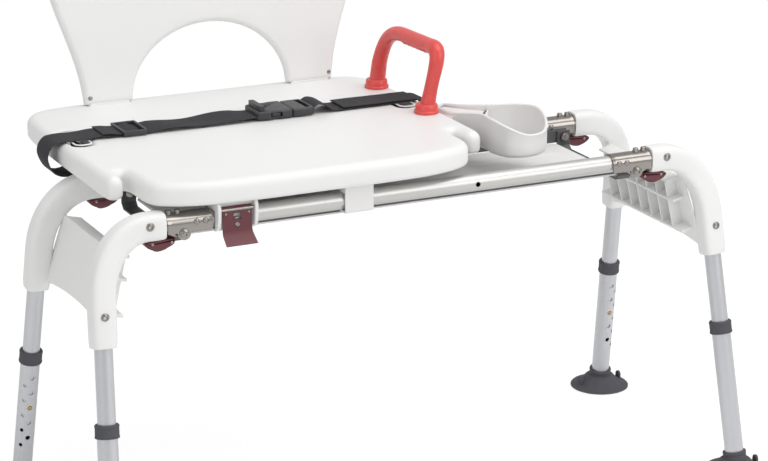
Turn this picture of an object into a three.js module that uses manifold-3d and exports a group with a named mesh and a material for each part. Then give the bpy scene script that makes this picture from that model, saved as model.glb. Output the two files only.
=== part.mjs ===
// A folding sliding transfer bench: a moulded seat with a backrest, belt, grab handle and side tray slides
// along two rails, which stand on two folding end frames with height-adjustable legs and suction feet.
// Millimetres, X along the rails, Y towards the backrest, Z up. The origin is the middle of the footprint.
import * as THREE from 'three';
import { mergeVertices } from 'three/addons/utils/BufferGeometryUtils.js';
import Module from 'manifold-3d';

const wasm = await Module();
wasm.setup();

// ---- driving dimensions -------------------------------------------------------------------------------
const GAP = 0.3; // between pieces that touch
const FIT = 0.4; // between pieces that slide or turn on each other

// rail frame
const RAIL_R = 12.7;
const RAIL_WALL = 2;
const RAIL_HALF = 346; // half the length of a rail
const RAIL_Y = 114; // rail axis from the middle plane
const RAIL_Z = 488;
const BAR_HEIGHT = 26;
const BAR_THICK = 4;
const BAR_Z = 460; // underside of the stiffener bars
const STRAP_WIDTH = 22;
const STRAP_THICK = 3;
const STRAP_DROP = 8; // how far the cross straps dip below the bars
const DECK_THICK = 3.5;

// fold hinges
const PIVOT_X = RAIL_HALF + 13;
const PIVOT_Z = 476;
const BOLT_R = 4;
const BOLT_HEAD_R = 7;
const BOLT_HEAD = 4;
const BRACKET_WALL = 2.2;
const BRACKET_INNER_END = RAIL_HALF - 28;
const BRACKET_OUTER_END = PIVOT_X + 24;
const BRACKET_SKIRT_Z = 477; // lower edge beside the rail
const BRACKET_EAR_R = 9.5;
const RIVET_R = 4;
const RIVET_HEAD = 1.6;
const RIVETS_X = [BRACKET_INNER_END + 10, BRACKET_INNER_END + 23];
const TOP_SCREWS_X = [PIVOT_X + 5, PIVOT_X + 18];
const TOP_SCREW_HEIGHT = 4;
const TONGUE_PLATE = 16; // width of the tongue's ear
const TONGUE_INSET = 22; // tongue inside the arch

// end frames
const ARCH_START_X = BRACKET_OUTER_END + 2;
const ARCH_STRAIGHT = 22; // straight run from the hinge before the bend
const ARCH_RADIAL = 18; // half height of the section
const ARCH_SIDE = 17; // half width of the section
const ARCH_BEND_IN = 45; // Bezier handles of the bend
const ARCH_BEND_OUT = 55;
const SOCKET_LENGTH = 60;
const SOCKET_X = ARCH_START_X + 101.6;
const SOCKET_Y = 145;
const SOCKET_Z = 336; // mouth of the leg sockets
const LEG_LEAN_X = 3.1; // degrees, outwards along the rails
const LEG_LEAN_Y = 10.6; // degrees, outwards to the front or back
const WEB_BOTTOM = [SOCKET_X - 13.6, SOCKET_Z + 8]; // X and Z of the skin's lower edge
const WEB_TOP = [SOCKET_X - 38.6, RAIL_Z - 38];
const WEB_SKIN = 4;
const WEB_DEPTH = 20; // ribs and flanges behind the skin
const WEB_HALF_LOW = 138;
const WEB_HALF_HIGH = 112;
const WEB_RISE = 12; // how far the lower edge arches up
const WEB_FLANGE = 4;
const WEB_FLANGES_AT = [26, 74]; // up the skin from its lower edge
const RIB_THICK = 2.6;
const RIB_PITCH = 30;
const RIB_COUNT = 7;

// legs
const UPPER_R = 12.7;
const UPPER_BORE = 11;
const LOWER_R = 14.3;
const LOWER_BORE = 13.15;
const LOWER_TOP = 108; // below the socket mouth, along the leg
const UPPER_END = 226;
const HOLE_PITCH = 25.4;
const HOLE_R = 3.6;
const FIRST_HOLE = 145.7; // below the socket mouth
const HOLES = 5;
const SECOND_ROW_TURN = 40; // degrees round the tube
const BUTTON_HOLE = 2; // which hole holds the snap button
const BUTTON_R = 3;
const BUTTON_ROOT = 5; // button's inner end from the leg axis
const BUTTON_TIP = LOWER_BORE - 0.75; // its edge stays clear of the lower tube's bore
const COLLAR_R = 17.3;
const COLLAR_ABOVE = 3;
const COLLAR_LENGTH = 19;
const FOOT_R = 48;
const FOOT_RIM = 4.5;
const FOOT_DOME_Z = 16;
const FOOT_SOCKET_R = 17.5;
const FOOT_SOCKET_LENGTH = 24;
const FOOT_RECESS_R = 34;
const FOOT_RECESS = 3;
const FOOT_PLUG_Z = 12; // height of the tube's end over the floor
const LUG_AT = 36;
const LUG_SIZE = [4, 11, 17];

// latch levers
const LATCH_AT = PIVOT_X + 15; // lever's pivot
const LATCH_LENGTH = 40;
const LATCH_WIDTH = 20;
const LATCH_DEPTH = 11;

// seat
const SEAT_LEFT = -446;
const SEAT_RIGHT = 136;
const SEAT_FRONT = -146;
const SEAT_BACK = 352;
const SEAT_Z = 513.5; // underside
const SEAT_THICK = 33.5;
const SEAT_ROUND = 9; // edge rounding
const FRONT_FLAT = 136; // half the straight run of the front edge
const SHOULDER_X = 249; // half width where the front edge ends at a notch
const SHOULDER_Y = -98;
const NOTCH_WIDTH = 15;
const NOTCH_BACK_Y = -28;
const LOBE_Y = -62; // front of the corner lobes
const BACK_CORNER_R = 62;
const SLOT_EDGE = 21; // bar between a belt slot and the seat's edge
const SLOT_WIDTH = 23;
const SLOT_LENGTH = 84;
const BELT_Y = 160;

// backrest
const BACKREST_X = -135;
const BACKREST_Y = 332; // middle of its thickness at the seat's top
const BACKREST_THICK = 20;
const BACKREST_LEAN = 4; // degrees
const BACKREST_HEIGHT = 330;
const BACKREST_LEG_OUT = 205;
const BACKREST_LEG_IN = 128;
const BACKREST_WIDEST = 258;
const BACKREST_WIDEST_AT = 230;
const BACKREST_CORNER = 95;
const CUTOUT_HEIGHT = 109;
const TENON_SHOULDER = 6; // tenon narrower than the leg, each side
const TENON_DEPTH = 28;

// grab handle
const HANDLE_X = 110;
const HANDLE_FRONT_Y = 72;
const HANDLE_BACK_Y = 246;
const HANDLE_HEIGHT = 98; // grip axis over the seat
const HANDLE_R = 12;
const HANDLE_COLLAR_R = 19;
const HANDLE_COLLAR = 15;

// seat guides and lock
const GUIDE_WALL = 3;
const GUIDE_LIP = 16; // reach of the lip under the rail
const FRONT_GUIDE_X = [-118, -74];
const REAR_GUIDE_X = [-312, -74];
const LOCK_X = [-314, -254];
const CHEEK = 5;
const CHEEK_FRONT = 14; // cheeks stand out in front of the rail
const LEVER_PIVOT_Z = 503;
const LEVER_PIVOT_OUT = 8.8; // lever pivot in front of the rail's surface
const LEVER_PIN_R = 2.4;
const LEVER_CURL_R = 4;
const LEVER_THICK = 2;
const LEVER_X = [-307, -275];
const LEVER_BEND_Z = 473;
const LIP_Z = 455;
const LIP_OUT = 14;
const LIP_X = [-311, -267];
const LOCK_PIN_X = -284;
const LOCK_PIN_R = 3.5;
const LOCK_TRAVEL = 378; // between the two locking holes

// tray
const TRAY_Z = 505;
const TRAY_DEPTH = 54;
const TRAY_WALL = 3;
const TRAY_PAD = 9; // pad that fixes the tray to the seat's edge
const TRAY_PAD_Y = [46, 98];
const TRAY_PAD_Z = [517, 543];
// X from the seat's right edge, and Y.
const TRAY_OUTLINE = [
  [22, -48], [32, -76], [58, -88], [90, -80], [114, -46], [120, -4],
  [104, 24], [69, 48], [34, 84], [16, 106], [7, 98], [6, 46], [15, 22], [22, -8],
];

// belt
const BELT_WIDTH = 50;
const BELT_THICK = 2.4;
const ADJUSTER_X = [-350, -312];
const ADJUSTER_THICK = 5;
const ADJUSTER_BAR = 5;
const BUCKLE_X = [-138, -82];
const TONGUE_X = [-81.4, -46];
const BUCKLE_WIDTH = 58;
const BUCKLE_THICK = 13;

const seatTop = SEAT_Z + SEAT_THICK;
const seatMiddle = (SEAT_LEFT + SEAT_RIGHT) / 2;
const seatHalf = (SEAT_RIGHT - SEAT_LEFT) / 2;
const degrees = THREE.MathUtils.degToRad;

// ---- materials ----------------------------------------------------------------------------------------
const finish = (color, roughness, metalness) => () =>
  new THREE.MeshStandardMaterial({ color, roughness, metalness });
const aluminium = finish(0xc6c7c9, 0.35, 0.9);
const stainless = finish(0xb9b6b2, 0.2, 1);
const darkSteel = finish(0x55565a, 0.5, 0.6);
const whitePlastic = finish(0xeeeef0, 0.45, 0);
const greyPlastic = finish(0xd9d8d7, 0.5, 0);
const maroon = finish(0x63393c, 0.35, 0.3);
const redPlastic = finish(0xd8413f, 0.4, 0);
const rubber = finish(0x4b4b4e, 0.75, 0);
const webbing = finish(0x2b2b2d, 0.9, 0);
const blackPlastic = finish(0x38393b, 0.5, 0);
const brass = finish(0xb08d4a, 0.35, 0.9);

// ---- geometry helpers ---------------------------------------------------------------------------------

// Positions and index only, with no slivers, wound so that the enclosed volume is positive.
function closed(geometry) {
  const bare = geometry.clone();
  bare.deleteAttribute('normal');
  bare.deleteAttribute('uv');
  const merged = mergeVertices(bare, 1e-3);
  const point = [new THREE.Vector3(), new THREE.Vector3(), new THREE.Vector3()];
  const kept = [];
  let volume = 0;
  for (let i = 0; i < merged.index.count; i += 3) {
    const corner = [0, 1, 2].map((k) => merged.index.getX(i + k));
    if (new Set(corner).size < 3) continue;
    corner.forEach((index, k) => point[k].fromBufferAttribute(merged.attributes.position, index));
    volume += point[0].dot(point[1].clone().cross(point[2]));
    kept.push(corner);
  }
  if (volume < 0) kept.forEach((corner) => corner.reverse());
  merged.setIndex(kept.flat());
  return merged;
}

function solid(geometry) {
  const bare = closed(geometry);
  const mesh = new wasm.Mesh({
    numProp: 3,
    vertProperties: new Float32Array(bare.attributes.position.array),
    triVerts: new Uint32Array(bare.index.array),
  });
  return new wasm.Manifold(mesh);
}

function shell(manifold) {
  const mesh = manifold.getMesh();
  const geometry = new THREE.BufferGeometry();
  geometry.setAttribute('position', new THREE.BufferAttribute(mesh.vertProperties, 3));
  geometry.setIndex(new THREE.BufferAttribute(mesh.triVerts, 1));
  geometry.computeVertexNormals();
  return geometry;
}

const joined = (first, ...rest) => rest.reduce((all, piece) => all.add(solid(piece)), solid(first));
const cut = (base, ...tools) => tools.reduce((left, tool) => left.subtract(solid(tool)), base);

function box(x, y, z) {
  const geometry = new THREE.BoxGeometry(x[1] - x[0], y[1] - y[0], z[1] - z[0]);
  return geometry.translate((x[0] + x[1]) / 2, (y[0] + y[1]) / 2, (z[0] + z[1]) / 2);
}

// A cylinder from one point to another.
function rod(from, to, radius, sides = 12) {
  const axis = new THREE.Vector3().subVectors(to, from);
  const geometry = new THREE.CylinderGeometry(radius, radius, axis.length(), sides);
  const turn = new THREE.Quaternion().setFromUnitVectors(
    new THREE.Vector3(0, 1, 0), axis.clone().normalize());
  return geometry.applyQuaternion(turn).translate(...from.clone().add(to).multiplyScalar(0.5).toArray());
}

// A profile of [radius, height] turned about Z.
function turned(profile, sides = 18) {
  const points = profile.map(([r, z]) => new THREE.Vector2(r, z));
  return new THREE.LatheGeometry(points, sides).rotateX(Math.PI / 2);
}

function pipe(outer, inner, low, high, sides = 18) {
  return turned([[inner, low], [outer, low], [outer, high], [inner, high], [inner, low]], sides);
}

// A shape drawn in X and Z, with its thickness along Y.
function plateXZ(shape, y, curveSegments = 8) {
  const geometry = new THREE.ExtrudeGeometry(shape, { depth: y[1] - y[0], bevelEnabled: false, curveSegments });
  return geometry.rotateX(Math.PI / 2).translate(0, y[1], 0);
}

// A shape drawn in Y and Z, with its thickness along X.
function plateYZ(shape, x, curveSegments = 8) {
  const geometry = new THREE.ExtrudeGeometry(shape, { depth: x[1] - x[0], bevelEnabled: false, curveSegments });
  return geometry.rotateX(Math.PI / 2).rotateZ(Math.PI / 2).translate(x[0], 0, 0);
}

function polygon(points) {
  return new THREE.Shape(points.map(([x, y]) => new THREE.Vector2(x, y)));
}

// A flat strip of even thickness along a line of [x, z] points.
function strip(points, thickness) {
  const line = points.map(([x, z]) => new THREE.Vector2(x, z));
  const side = (sign) => line.map((point, i) => {
    const before = line[Math.max(i - 1, 0)];
    const after = line[Math.min(i + 1, line.length - 1)];
    const into = point.clone().sub(before).normalize();
    const out = after.clone().sub(point).normalize();
    const along = into.add(out).normalize();
    const normal = new THREE.Vector2(-along.y, along.x);
    return point.clone().addScaledVector(normal, (sign * thickness) / 2);
  });
  return new THREE.Shape([...side(1), ...side(-1).reverse()]);
}

const bench = new THREE.Group();

function add(parent, name, geometry, material, position = [0, 0, 0]) {
  const mesh = new THREE.Mesh(closed(geometry), material());
  mesh.name = name;
  mesh.position.set(...position);
  parent.add(mesh);
  return mesh;
}

// ---- rail frame ---------------------------------------------------------------------------------------

function railGeometry(front) {
  const tube = solid(pipe(RAIL_R, RAIL_R - RAIL_WALL, -RAIL_HALF, RAIL_HALF, 20).rotateY(Math.PI / 2));
  if (!front) return shell(tube);
  const holes = [LOCK_PIN_X, LOCK_PIN_X + LOCK_TRAVEL].map((x) => rod(
    new THREE.Vector3(x, -RAIL_R - 1, 0), new THREE.Vector3(x, -RAIL_R / 2, 0), LOCK_PIN_R + FIT, 12));
  return shell(cut(tube, ...holes));
}

const barInner = RAIL_Y - RAIL_R - GAP - BRACKET_WALL - FIT - BAR_THICK;
const deckTop = BAR_Z - GAP;
const strapTop = deckTop - DECK_THICK - GAP;

function strapGeometry() {
  const edge = barInner - GAP - STRAP_THICK / 2;
  const low = strapTop - STRAP_THICK / 2;
  const tab = PIVOT_Z + BOLT_HEAD_R + 2;
  const line = [[-edge, tab], [-edge, low + 7], [-edge + 7, low], [edge - 7, low], [edge, low + 7], [edge, tab]];
  const x = [PIVOT_X - STRAP_WIDTH / 2, PIVOT_X + STRAP_WIDTH / 2];
  const bore = rod(new THREE.Vector3(PIVOT_X, -RAIL_Y, PIVOT_Z), new THREE.Vector3(PIVOT_X, RAIL_Y, PIVOT_Z),
    BOLT_R + FIT);
  return shell(cut(solid(plateYZ(strip(line, STRAP_THICK), x)), bore));
}

function deckGeometry() {
  const long = PIVOT_X - STRAP_WIDTH / 2 - 1;
  const end = long + 7;
  const wide = barInner + BAR_THICK;
  const narrow = barInner - STRAP_THICK - STRAP_DROP;
  const outline = [[long, -wide], [long, -narrow], [end, -narrow], [end, narrow], [long, narrow], [long, wide]];
  const mirrored = outline.map(([x, y]) => [-x, -y]);
  const geometry = new THREE.ExtrudeGeometry(polygon([...outline, ...mirrored]),
    { depth: DECK_THICK, bevelEnabled: false });
  return geometry.translate(0, 0, deckTop - DECK_THICK);
}

function barGeometry() {
  const half = PIVOT_X + BAR_HEIGHT / 3;
  const bar = solid(box([-half, half], [-BAR_THICK / 2, BAR_THICK / 2], [0, BAR_HEIGHT]));
  const bores = [-PIVOT_X, PIVOT_X].map((x) => rod(
    new THREE.Vector3(x, -BAR_THICK, PIVOT_Z - BAR_Z), new THREE.Vector3(x, BAR_THICK, PIVOT_Z - BAR_Z),
    BOLT_R + FIT));
  return shell(cut(bar, ...bores));
}

function addRailFrame() {
  for (const [name, side] of [['front', -1], ['rear', 1]]) {
    add(bench, `${name}_rail`, railGeometry(side < 0), aluminium, [0, side * RAIL_Y, RAIL_Z]);
    add(bench, `${name}_stiffener_bar`, barGeometry(), darkSteel,
      [0, side * (barInner + BAR_THICK / 2), BAR_Z]);
  }
  add(bench, 'right_cross_strap', strapGeometry(), darkSteel);
  const left = new THREE.Group();
  left.rotation.z = Math.PI;
  add(left, 'left_cross_strap', strapGeometry(), darkSteel);
  bench.add(left);
  add(bench, 'deck_panel', deckGeometry(), greyPlastic);
}

// ---- fold hinges --------------------------------------------------------------------------------------

// An arched saddle over the rail's end, open below, with an ear each side for the pivot bolt.
function bracketGeometry() {
  const inner = RAIL_R + GAP;
  const outer = inner + BRACKET_WALL;
  const low = PIVOT_Z - BRACKET_EAR_R - RAIL_Z;
  const profile = new THREE.Shape();
  profile.moveTo(outer, low);
  profile.lineTo(outer, 0);
  profile.absarc(0, 0, outer, 0, Math.PI, false);
  profile.lineTo(-outer, low);
  profile.lineTo(-inner, low);
  profile.lineTo(-inner, 0);
  profile.absarc(0, 0, inner, Math.PI, 0, true);
  profile.lineTo(inner, low);
  const saddle = solid(plateYZ(profile, [BRACKET_INNER_END, BRACKET_OUTER_END], 7));
  const skirt = BRACKET_SKIRT_Z - RAIL_Z;
  const clearances = [
    box([BRACKET_INNER_END - 1, PIVOT_X - BRACKET_EAR_R], [-outer - 1, outer + 1], [low - 1, skirt]),
    box([PIVOT_X + BRACKET_EAR_R, BRACKET_OUTER_END + 1], [-outer - 1, outer + 1], [low - 1, skirt]),
    rod(new THREE.Vector3(PIVOT_X, -outer - 1, PIVOT_Z - RAIL_Z),
      new THREE.Vector3(PIVOT_X, outer + 1, PIVOT_Z - RAIL_Z), BOLT_R + FIT),
  ];
  const heads = RIVETS_X.flatMap((x) => [-1, 1].map((side) => rod(
    new THREE.Vector3(x, side * (outer - 1), 3), new THREE.Vector3(x, side * (outer + RIVET_HEAD), 3),
    RIVET_R, 8)));
  const screws = TOP_SCREWS_X.map((x) => rod(
    new THREE.Vector3(x, 0, outer - 1), new THREE.Vector3(x, 0, outer + TOP_SCREW_HEIGHT), RIVET_R, 8));
  return shell([...heads, ...screws].reduce((all, head) => all.add(solid(head)), cut(saddle, ...clearances)));
}

// A bolt through the bracket, the stiffener bar and the cross strap, with a head outside and a nut inside.
function boltGeometry() {
  const outside = RAIL_R + GAP + BRACKET_WALL + GAP;
  const inside = RAIL_Y - barInner + STRAP_THICK + 3 * GAP;
  return turned([[0, -outside - BOLT_HEAD], [BOLT_HEAD_R - 2, -outside - BOLT_HEAD],
    [BOLT_HEAD_R, -outside - BOLT_HEAD + 2], [BOLT_HEAD_R, -outside], [BOLT_R, -outside], [BOLT_R, inside],
    [BOLT_HEAD_R, inside], [BOLT_HEAD_R, inside + BOLT_HEAD], [0, inside + BOLT_HEAD]], 12)
    .rotateX(-Math.PI / 2);
}

// ---- end frames ---------------------------------------------------------------------------------------

// Unit vector down a leg on the +Y side of the right-hand frame, or its mirror image on the -Y side.
function legDown(side) {
  return new THREE.Vector3(
    Math.tan(degrees(LEG_LEAN_X)), side * Math.tan(degrees(LEG_LEAN_Y)), -1).normalize();
}

const socketMouth = (side) => new THREE.Vector3(SOCKET_X, side * SOCKET_Y, SOCKET_Z);
const downLeg = (side, distance) => socketMouth(side).addScaledVector(legDown(side), distance);

// From the hinge, straight out, round the bend and straight down the socket.
function archCurve(side) {
  const start = new THREE.Vector3(ARCH_START_X, side * RAIL_Y, RAIL_Z);
  const bend = start.clone().setX(ARCH_START_X + ARCH_STRAIGHT);
  const straight = downLeg(side, -SOCKET_LENGTH);
  const curve = new THREE.CurvePath();
  curve.add(new THREE.LineCurve3(start, bend));
  curve.add(new THREE.CubicBezierCurve3(bend, bend.clone().setX(bend.x + ARCH_BEND_IN),
    downLeg(side, -SOCKET_LENGTH - ARCH_BEND_OUT), straight));
  curve.add(new THREE.LineCurve3(straight, socketMouth(side)));
  return curve;
}

// A rounded square section.
function archSection() {
  const points = [];
  for (let i = 0; i < 16; i++) {
    const angle = (i + 0.5) * (Math.PI / 8);
    const round = (value) => Math.sign(value) * Math.sqrt(Math.abs(value));
    const flat = (value) => 0.45 * value + 0.55 * round(value);
    points.push([ARCH_RADIAL * flat(Math.cos(angle)), ARCH_SIDE * flat(Math.sin(angle))]);
  }
  return polygon(points);
}

function archGeometry(side) {
  return new THREE.ExtrudeGeometry(archSection(), { steps: 14, bevelEnabled: false, extrudePath: archCurve(side) });
}

// The web in its own frame: X is the inward normal, Y along the bench's depth, Z up the skin.
function webPieces() {
  const height = Math.hypot(WEB_TOP[0] - WEB_BOTTOM[0], WEB_TOP[1] - WEB_BOTTOM[1]);
  const skin = new THREE.Shape();
  skin.moveTo(-WEB_HALF_LOW, 0);
  skin.quadraticCurveTo(0, 2 * WEB_RISE, WEB_HALF_LOW, 0);
  skin.lineTo(WEB_HALF_HIGH, height);
  skin.lineTo(-WEB_HALF_HIGH, height);
  const pieces = [plateYZ(skin, [0, WEB_SKIN])];
  for (const at of WEB_FLANGES_AT) {
    const half = WEB_HALF_LOW - ((WEB_HALF_LOW - WEB_HALF_HIGH) * at) / height;
    pieces.push(box([-WEB_DEPTH, 1], [-half, half], [at, at + WEB_FLANGE]));
  }
  for (let i = 0; i < RIB_COUNT; i++) {
    const y = (i - (RIB_COUNT - 1) / 2) * RIB_PITCH;
    pieces.push(box([1.5 - WEB_DEPTH, 1], [y - RIB_THICK / 2, y + RIB_THICK / 2],
      [WEB_FLANGES_AT[0] + 1, height - 6]));
  }
  const lean = Math.atan2(WEB_BOTTOM[0] - WEB_TOP[0], WEB_TOP[1] - WEB_BOTTOM[1]);
  return pieces.map((piece) => piece.rotateY(-lean).translate(WEB_BOTTOM[0], 0, WEB_BOTTOM[1]));
}

function endFrameGeometry() {
  const body = joined(archGeometry(-1), archGeometry(1), ...webPieces());
  const bores = [-1, 1].flatMap((side) => [
    rod(downLeg(side, 1), downLeg(side, -SOCKET_LENGTH + 2), UPPER_R + FIT, 18),
    rod(new THREE.Vector3(ARCH_START_X - 1, side * RAIL_Y, RAIL_Z),
      new THREE.Vector3(ARCH_START_X + TONGUE_INSET + 1, side * RAIL_Y, RAIL_Z), RAIL_R + FIT, 18),
  ]);
  return shell(cut(body, ...bores));
}

// A steel stub fixed in the arch, with a flat ear that the pivot bolt passes through.
function tongueGeometry() {
  const rise = RAIL_Z - PIVOT_Z;
  const ear = new THREE.Shape();
  ear.absarc(0, 0, BRACKET_EAR_R - 1, Math.PI, 1.5 * Math.PI, false);
  ear.lineTo(ARCH_START_X - PIVOT_X - 8, 1 - BRACKET_EAR_R + 6);
  ear.lineTo(ARCH_START_X - PIVOT_X - 8, rise + RAIL_R - 3.2);
  ear.lineTo(-1, rise + RAIL_R - 3.2);
  const plate = plateXZ(ear, [-TONGUE_PLATE / 2, TONGUE_PLATE / 2]);
  const stub = rod(new THREE.Vector3(ARCH_START_X - PIVOT_X - 11, 0, rise),
    new THREE.Vector3(ARCH_START_X - PIVOT_X + TONGUE_INSET, 0, rise), RAIL_R, 18);
  const bore = rod(new THREE.Vector3(0, -TONGUE_PLATE, 0), new THREE.Vector3(0, TONGUE_PLATE, 0), BOLT_R + FIT);
  return shell(cut(joined(plate, stub), bore));
}

// A crescent finger lever: flat along the top where it lies under the arch, curved below.
function latchGeometry() {
  const lever = new THREE.Shape();
  lever.moveTo(-4, 0);
  lever.lineTo(LATCH_LENGTH * 0.55, 0);
  lever.quadraticCurveTo(LATCH_LENGTH * 0.8, -1, LATCH_LENGTH, 2 - LATCH_DEPTH / 2);
  lever.quadraticCurveTo(LATCH_LENGTH * 0.6, -LATCH_DEPTH * 1.5, LATCH_LENGTH * 0.2, -LATCH_DEPTH);
  lever.quadraticCurveTo(-2, -LATCH_DEPTH * 0.6, -4, -3);
  const body = solid(plateXZ(lever, [-LATCH_WIDTH / 2, LATCH_WIDTH / 2], 5));
  const hole = rod(new THREE.Vector3(LATCH_LENGTH * 0.75, -LATCH_WIDTH, -LATCH_DEPTH * 0.62),
    new THREE.Vector3(LATCH_LENGTH * 0.75, LATCH_WIDTH, -LATCH_DEPTH * 0.62), 1.6, 8);
  return shell(cut(body, hole));
}

// ---- legs ---------------------------------------------------------------------------------------------

// A leg's own frame: origin at the socket mouth, Z up the leg, the first row of holes facing the middle plane.
function legFrame(side) {
  const frame = new THREE.Group();
  frame.position.copy(socketMouth(side));
  frame.quaternion.setFromUnitVectors(new THREE.Vector3(0, 0, 1), legDown(side).negate());
  return frame;
}

function holeRod(angle, height, radius, from, to) {
  const direction = new THREE.Vector3(Math.cos(angle), Math.sin(angle), 0);
  const foot = new THREE.Vector3(0, 0, height);
  return rod(foot.clone().addScaledVector(direction, from), foot.clone().addScaledVector(direction, to), radius, 8);
}

const inwards = (side) => (-side * Math.PI) / 2;

function lowerTubeGeometry(side) {
  const end = (SOCKET_Z - FOOT_PLUG_Z) / -legDown(side).z;
  const tube = solid(pipe(LOWER_R, LOWER_BORE, -end, -LOWER_TOP));
  const rows = [];
  for (let i = 0; i < HOLES; i++) {
    const height = -FIRST_HOLE - i * HOLE_PITCH;
    rows.push(holeRod(inwards(side), height, HOLE_R, LOWER_R / 2, LOWER_R + 2));
    rows.push(holeRod(inwards(side) + side * degrees(SECOND_ROW_TURN), height - HOLE_PITCH / 2, HOLE_R * 0.8,
      LOWER_R / 2, LOWER_R + 2));
  }
  return shell(cut(tube, ...rows));
}

function upperTubeGeometry(side) {
  const tube = solid(pipe(UPPER_R, UPPER_BORE, -UPPER_END, SOCKET_LENGTH - 4));
  return shell(cut(tube, holeRod(inwards(side), buttonHeight, BUTTON_R + GAP, UPPER_R / 2, UPPER_R + 2)));
}

const buttonHeight = -FIRST_HOLE - BUTTON_HOLE * HOLE_PITCH;

function collarGeometry() {
  const top = -LOWER_TOP + COLLAR_ABOVE;
  return turned([[UPPER_R + FIT, top], [COLLAR_R - 1.5, top], [COLLAR_R, top - 2], [COLLAR_R, top - COLLAR_LENGTH + 3],
    [COLLAR_R - 1.5, top - COLLAR_LENGTH], [LOWER_R + GAP, top - COLLAR_LENGTH], [LOWER_R + GAP, -LOWER_TOP + GAP],
    [UPPER_R + FIT, -LOWER_TOP + GAP], [UPPER_R + FIT, top]]);
}

// A domed suction cup, with a leaning socket for the leg and two ears to lift its rim.
function footGeometry(side) {
  const down = legDown(side);
  const plug = downLeg(side, (SOCKET_Z - FOOT_PLUG_Z) / -down.z);
  const at = (height) => downLeg(side, (SOCKET_Z - height) / -down.z);
  const cup = turned([[0, FOOT_RECESS], [FOOT_RECESS_R, FOOT_RECESS], [FOOT_RECESS_R + 3, 0], [FOOT_R, 0],
    [FOOT_R, FOOT_RIM * 0.5], [FOOT_R - 2, FOOT_RIM], [FOOT_R * 0.7, FOOT_RIM + 4], [FOOT_R * 0.48, FOOT_DOME_Z],
    [0, FOOT_DOME_Z]], 20).translate(plug.x, plug.y, 0);
  const neck = rod(at(FOOT_DOME_Z - 7), at(FOOT_DOME_Z + FOOT_SOCKET_LENGTH - 8), FOOT_SOCKET_R, 18);
  const lugs = [-1, 1].map((end) => box(
    [plug.x + end * LUG_AT - LUG_SIZE[0] / 2, plug.x + end * LUG_AT + LUG_SIZE[0] / 2],
    [plug.y - LUG_SIZE[1] / 2, plug.y + LUG_SIZE[1] / 2], [FOOT_RIM, FOOT_RIM + LUG_SIZE[2]]));
  const bore = rod(plug.clone().addScaledVector(down, GAP), at(FOOT_DOME_Z + FOOT_SOCKET_LENGTH), LOWER_R + FIT, 18);
  return shell(cut(joined(cup, neck, ...lugs), bore));
}

function addLeg(end, corner, side) {
  const frame = legFrame(side);
  add(frame, `${corner}_upper_leg`, upperTubeGeometry(side), aluminium);
  add(frame, `${corner}_lower_leg`, lowerTubeGeometry(side), aluminium);
  add(frame, `${corner}_collar`, collarGeometry(), rubber);
  add(frame, `${corner}_button`, holeRod(inwards(side), buttonHeight, BUTTON_R, BUTTON_ROOT, BUTTON_TIP), brass);
  end.add(frame);
  add(end, `${corner}_foot`, footGeometry(side), rubber);
}

// One end of the bench, drawn as the right-hand one. The left-hand one is the same, turned half round.
function addEnd(hand) {
  const end = new THREE.Group();
  end.rotation.z = hand === 'right' ? 0 : Math.PI;
  add(end, `${hand}_end_frame`, endFrameGeometry(), whitePlastic);
  for (const side of [-1, 1]) {
    const depth = (side < 0) === (hand === 'right') ? 'front' : 'rear';
    const corner = `${depth}_${hand}`;
    add(end, `${corner}_bracket`, bracketGeometry(), stainless, [0, side * RAIL_Y, RAIL_Z]);
    const bolt = add(end, `${corner}_pivot_bolt`, boltGeometry(), stainless, [PIVOT_X, side * RAIL_Y, PIVOT_Z]);
    bolt.rotation.z = side < 0 ? 0 : Math.PI;
    add(end, `${corner}_hinge_tongue`, tongueGeometry(), stainless, [PIVOT_X, side * RAIL_Y, PIVOT_Z]);
    add(end, `${corner}_latch_lever`, latchGeometry(), maroon,
      [LATCH_AT, side * RAIL_Y, RAIL_Z - ARCH_RADIAL]);
    addLeg(end, corner, side);
  }
  bench.add(end);
}

// ---- seat ---------------------------------------------------------------------------------------------

// Half of the seat's outline from the middle of the front edge to the middle of the back, drawn on the right.
function seatOutline() {
  const half = [[FRONT_FLAT, SEAT_FRONT], [FRONT_FLAT + 60, SEAT_FRONT + 9], [SHOULDER_X - 18, SEAT_FRONT + 27],
    [SHOULDER_X - 3, SHOULDER_Y], [SHOULDER_X, SHOULDER_Y + 12], [SHOULDER_X, NOTCH_BACK_Y],
    [SHOULDER_X + NOTCH_WIDTH / 2, NOTCH_BACK_Y + 4], [SHOULDER_X + NOTCH_WIDTH, NOTCH_BACK_Y],
    [SHOULDER_X + NOTCH_WIDTH, LOBE_Y + 3], [SHOULDER_X + NOTCH_WIDTH + 4, LOBE_Y], [seatHalf - 6, LOBE_Y],
    [seatHalf, LOBE_Y + 8]];
  const steps = 5;
  for (let i = 0; i <= steps; i++) {
    const angle = (i / steps) * (Math.PI / 2);
    half.push([seatHalf - BACK_CORNER_R * (1 - Math.cos(angle)), SEAT_BACK - BACK_CORNER_R * (1 - Math.sin(angle))]);
  }
  return [...half, ...half.map(([x, y]) => [-x, y]).reverse()];
}

// The tenon under one leg of the backrest, in the backrest's own upright frame.
function tenon(side, spare) {
  const near = BACKREST_LEG_IN + TENON_SHOULDER - spare;
  const far = BACKREST_LEG_OUT - TENON_SHOULDER + spare;
  const half = BACKREST_THICK / 2 - 2 + spare;
  return box(side < 0 ? [-far, -near] : [near, far], [-half, half], [-TENON_DEPTH - spare, 1]);
}

function leaned(geometry) {
  return geometry.rotateX(-degrees(BACKREST_LEAN)).translate(BACKREST_X, BACKREST_Y, seatTop);
}

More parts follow.
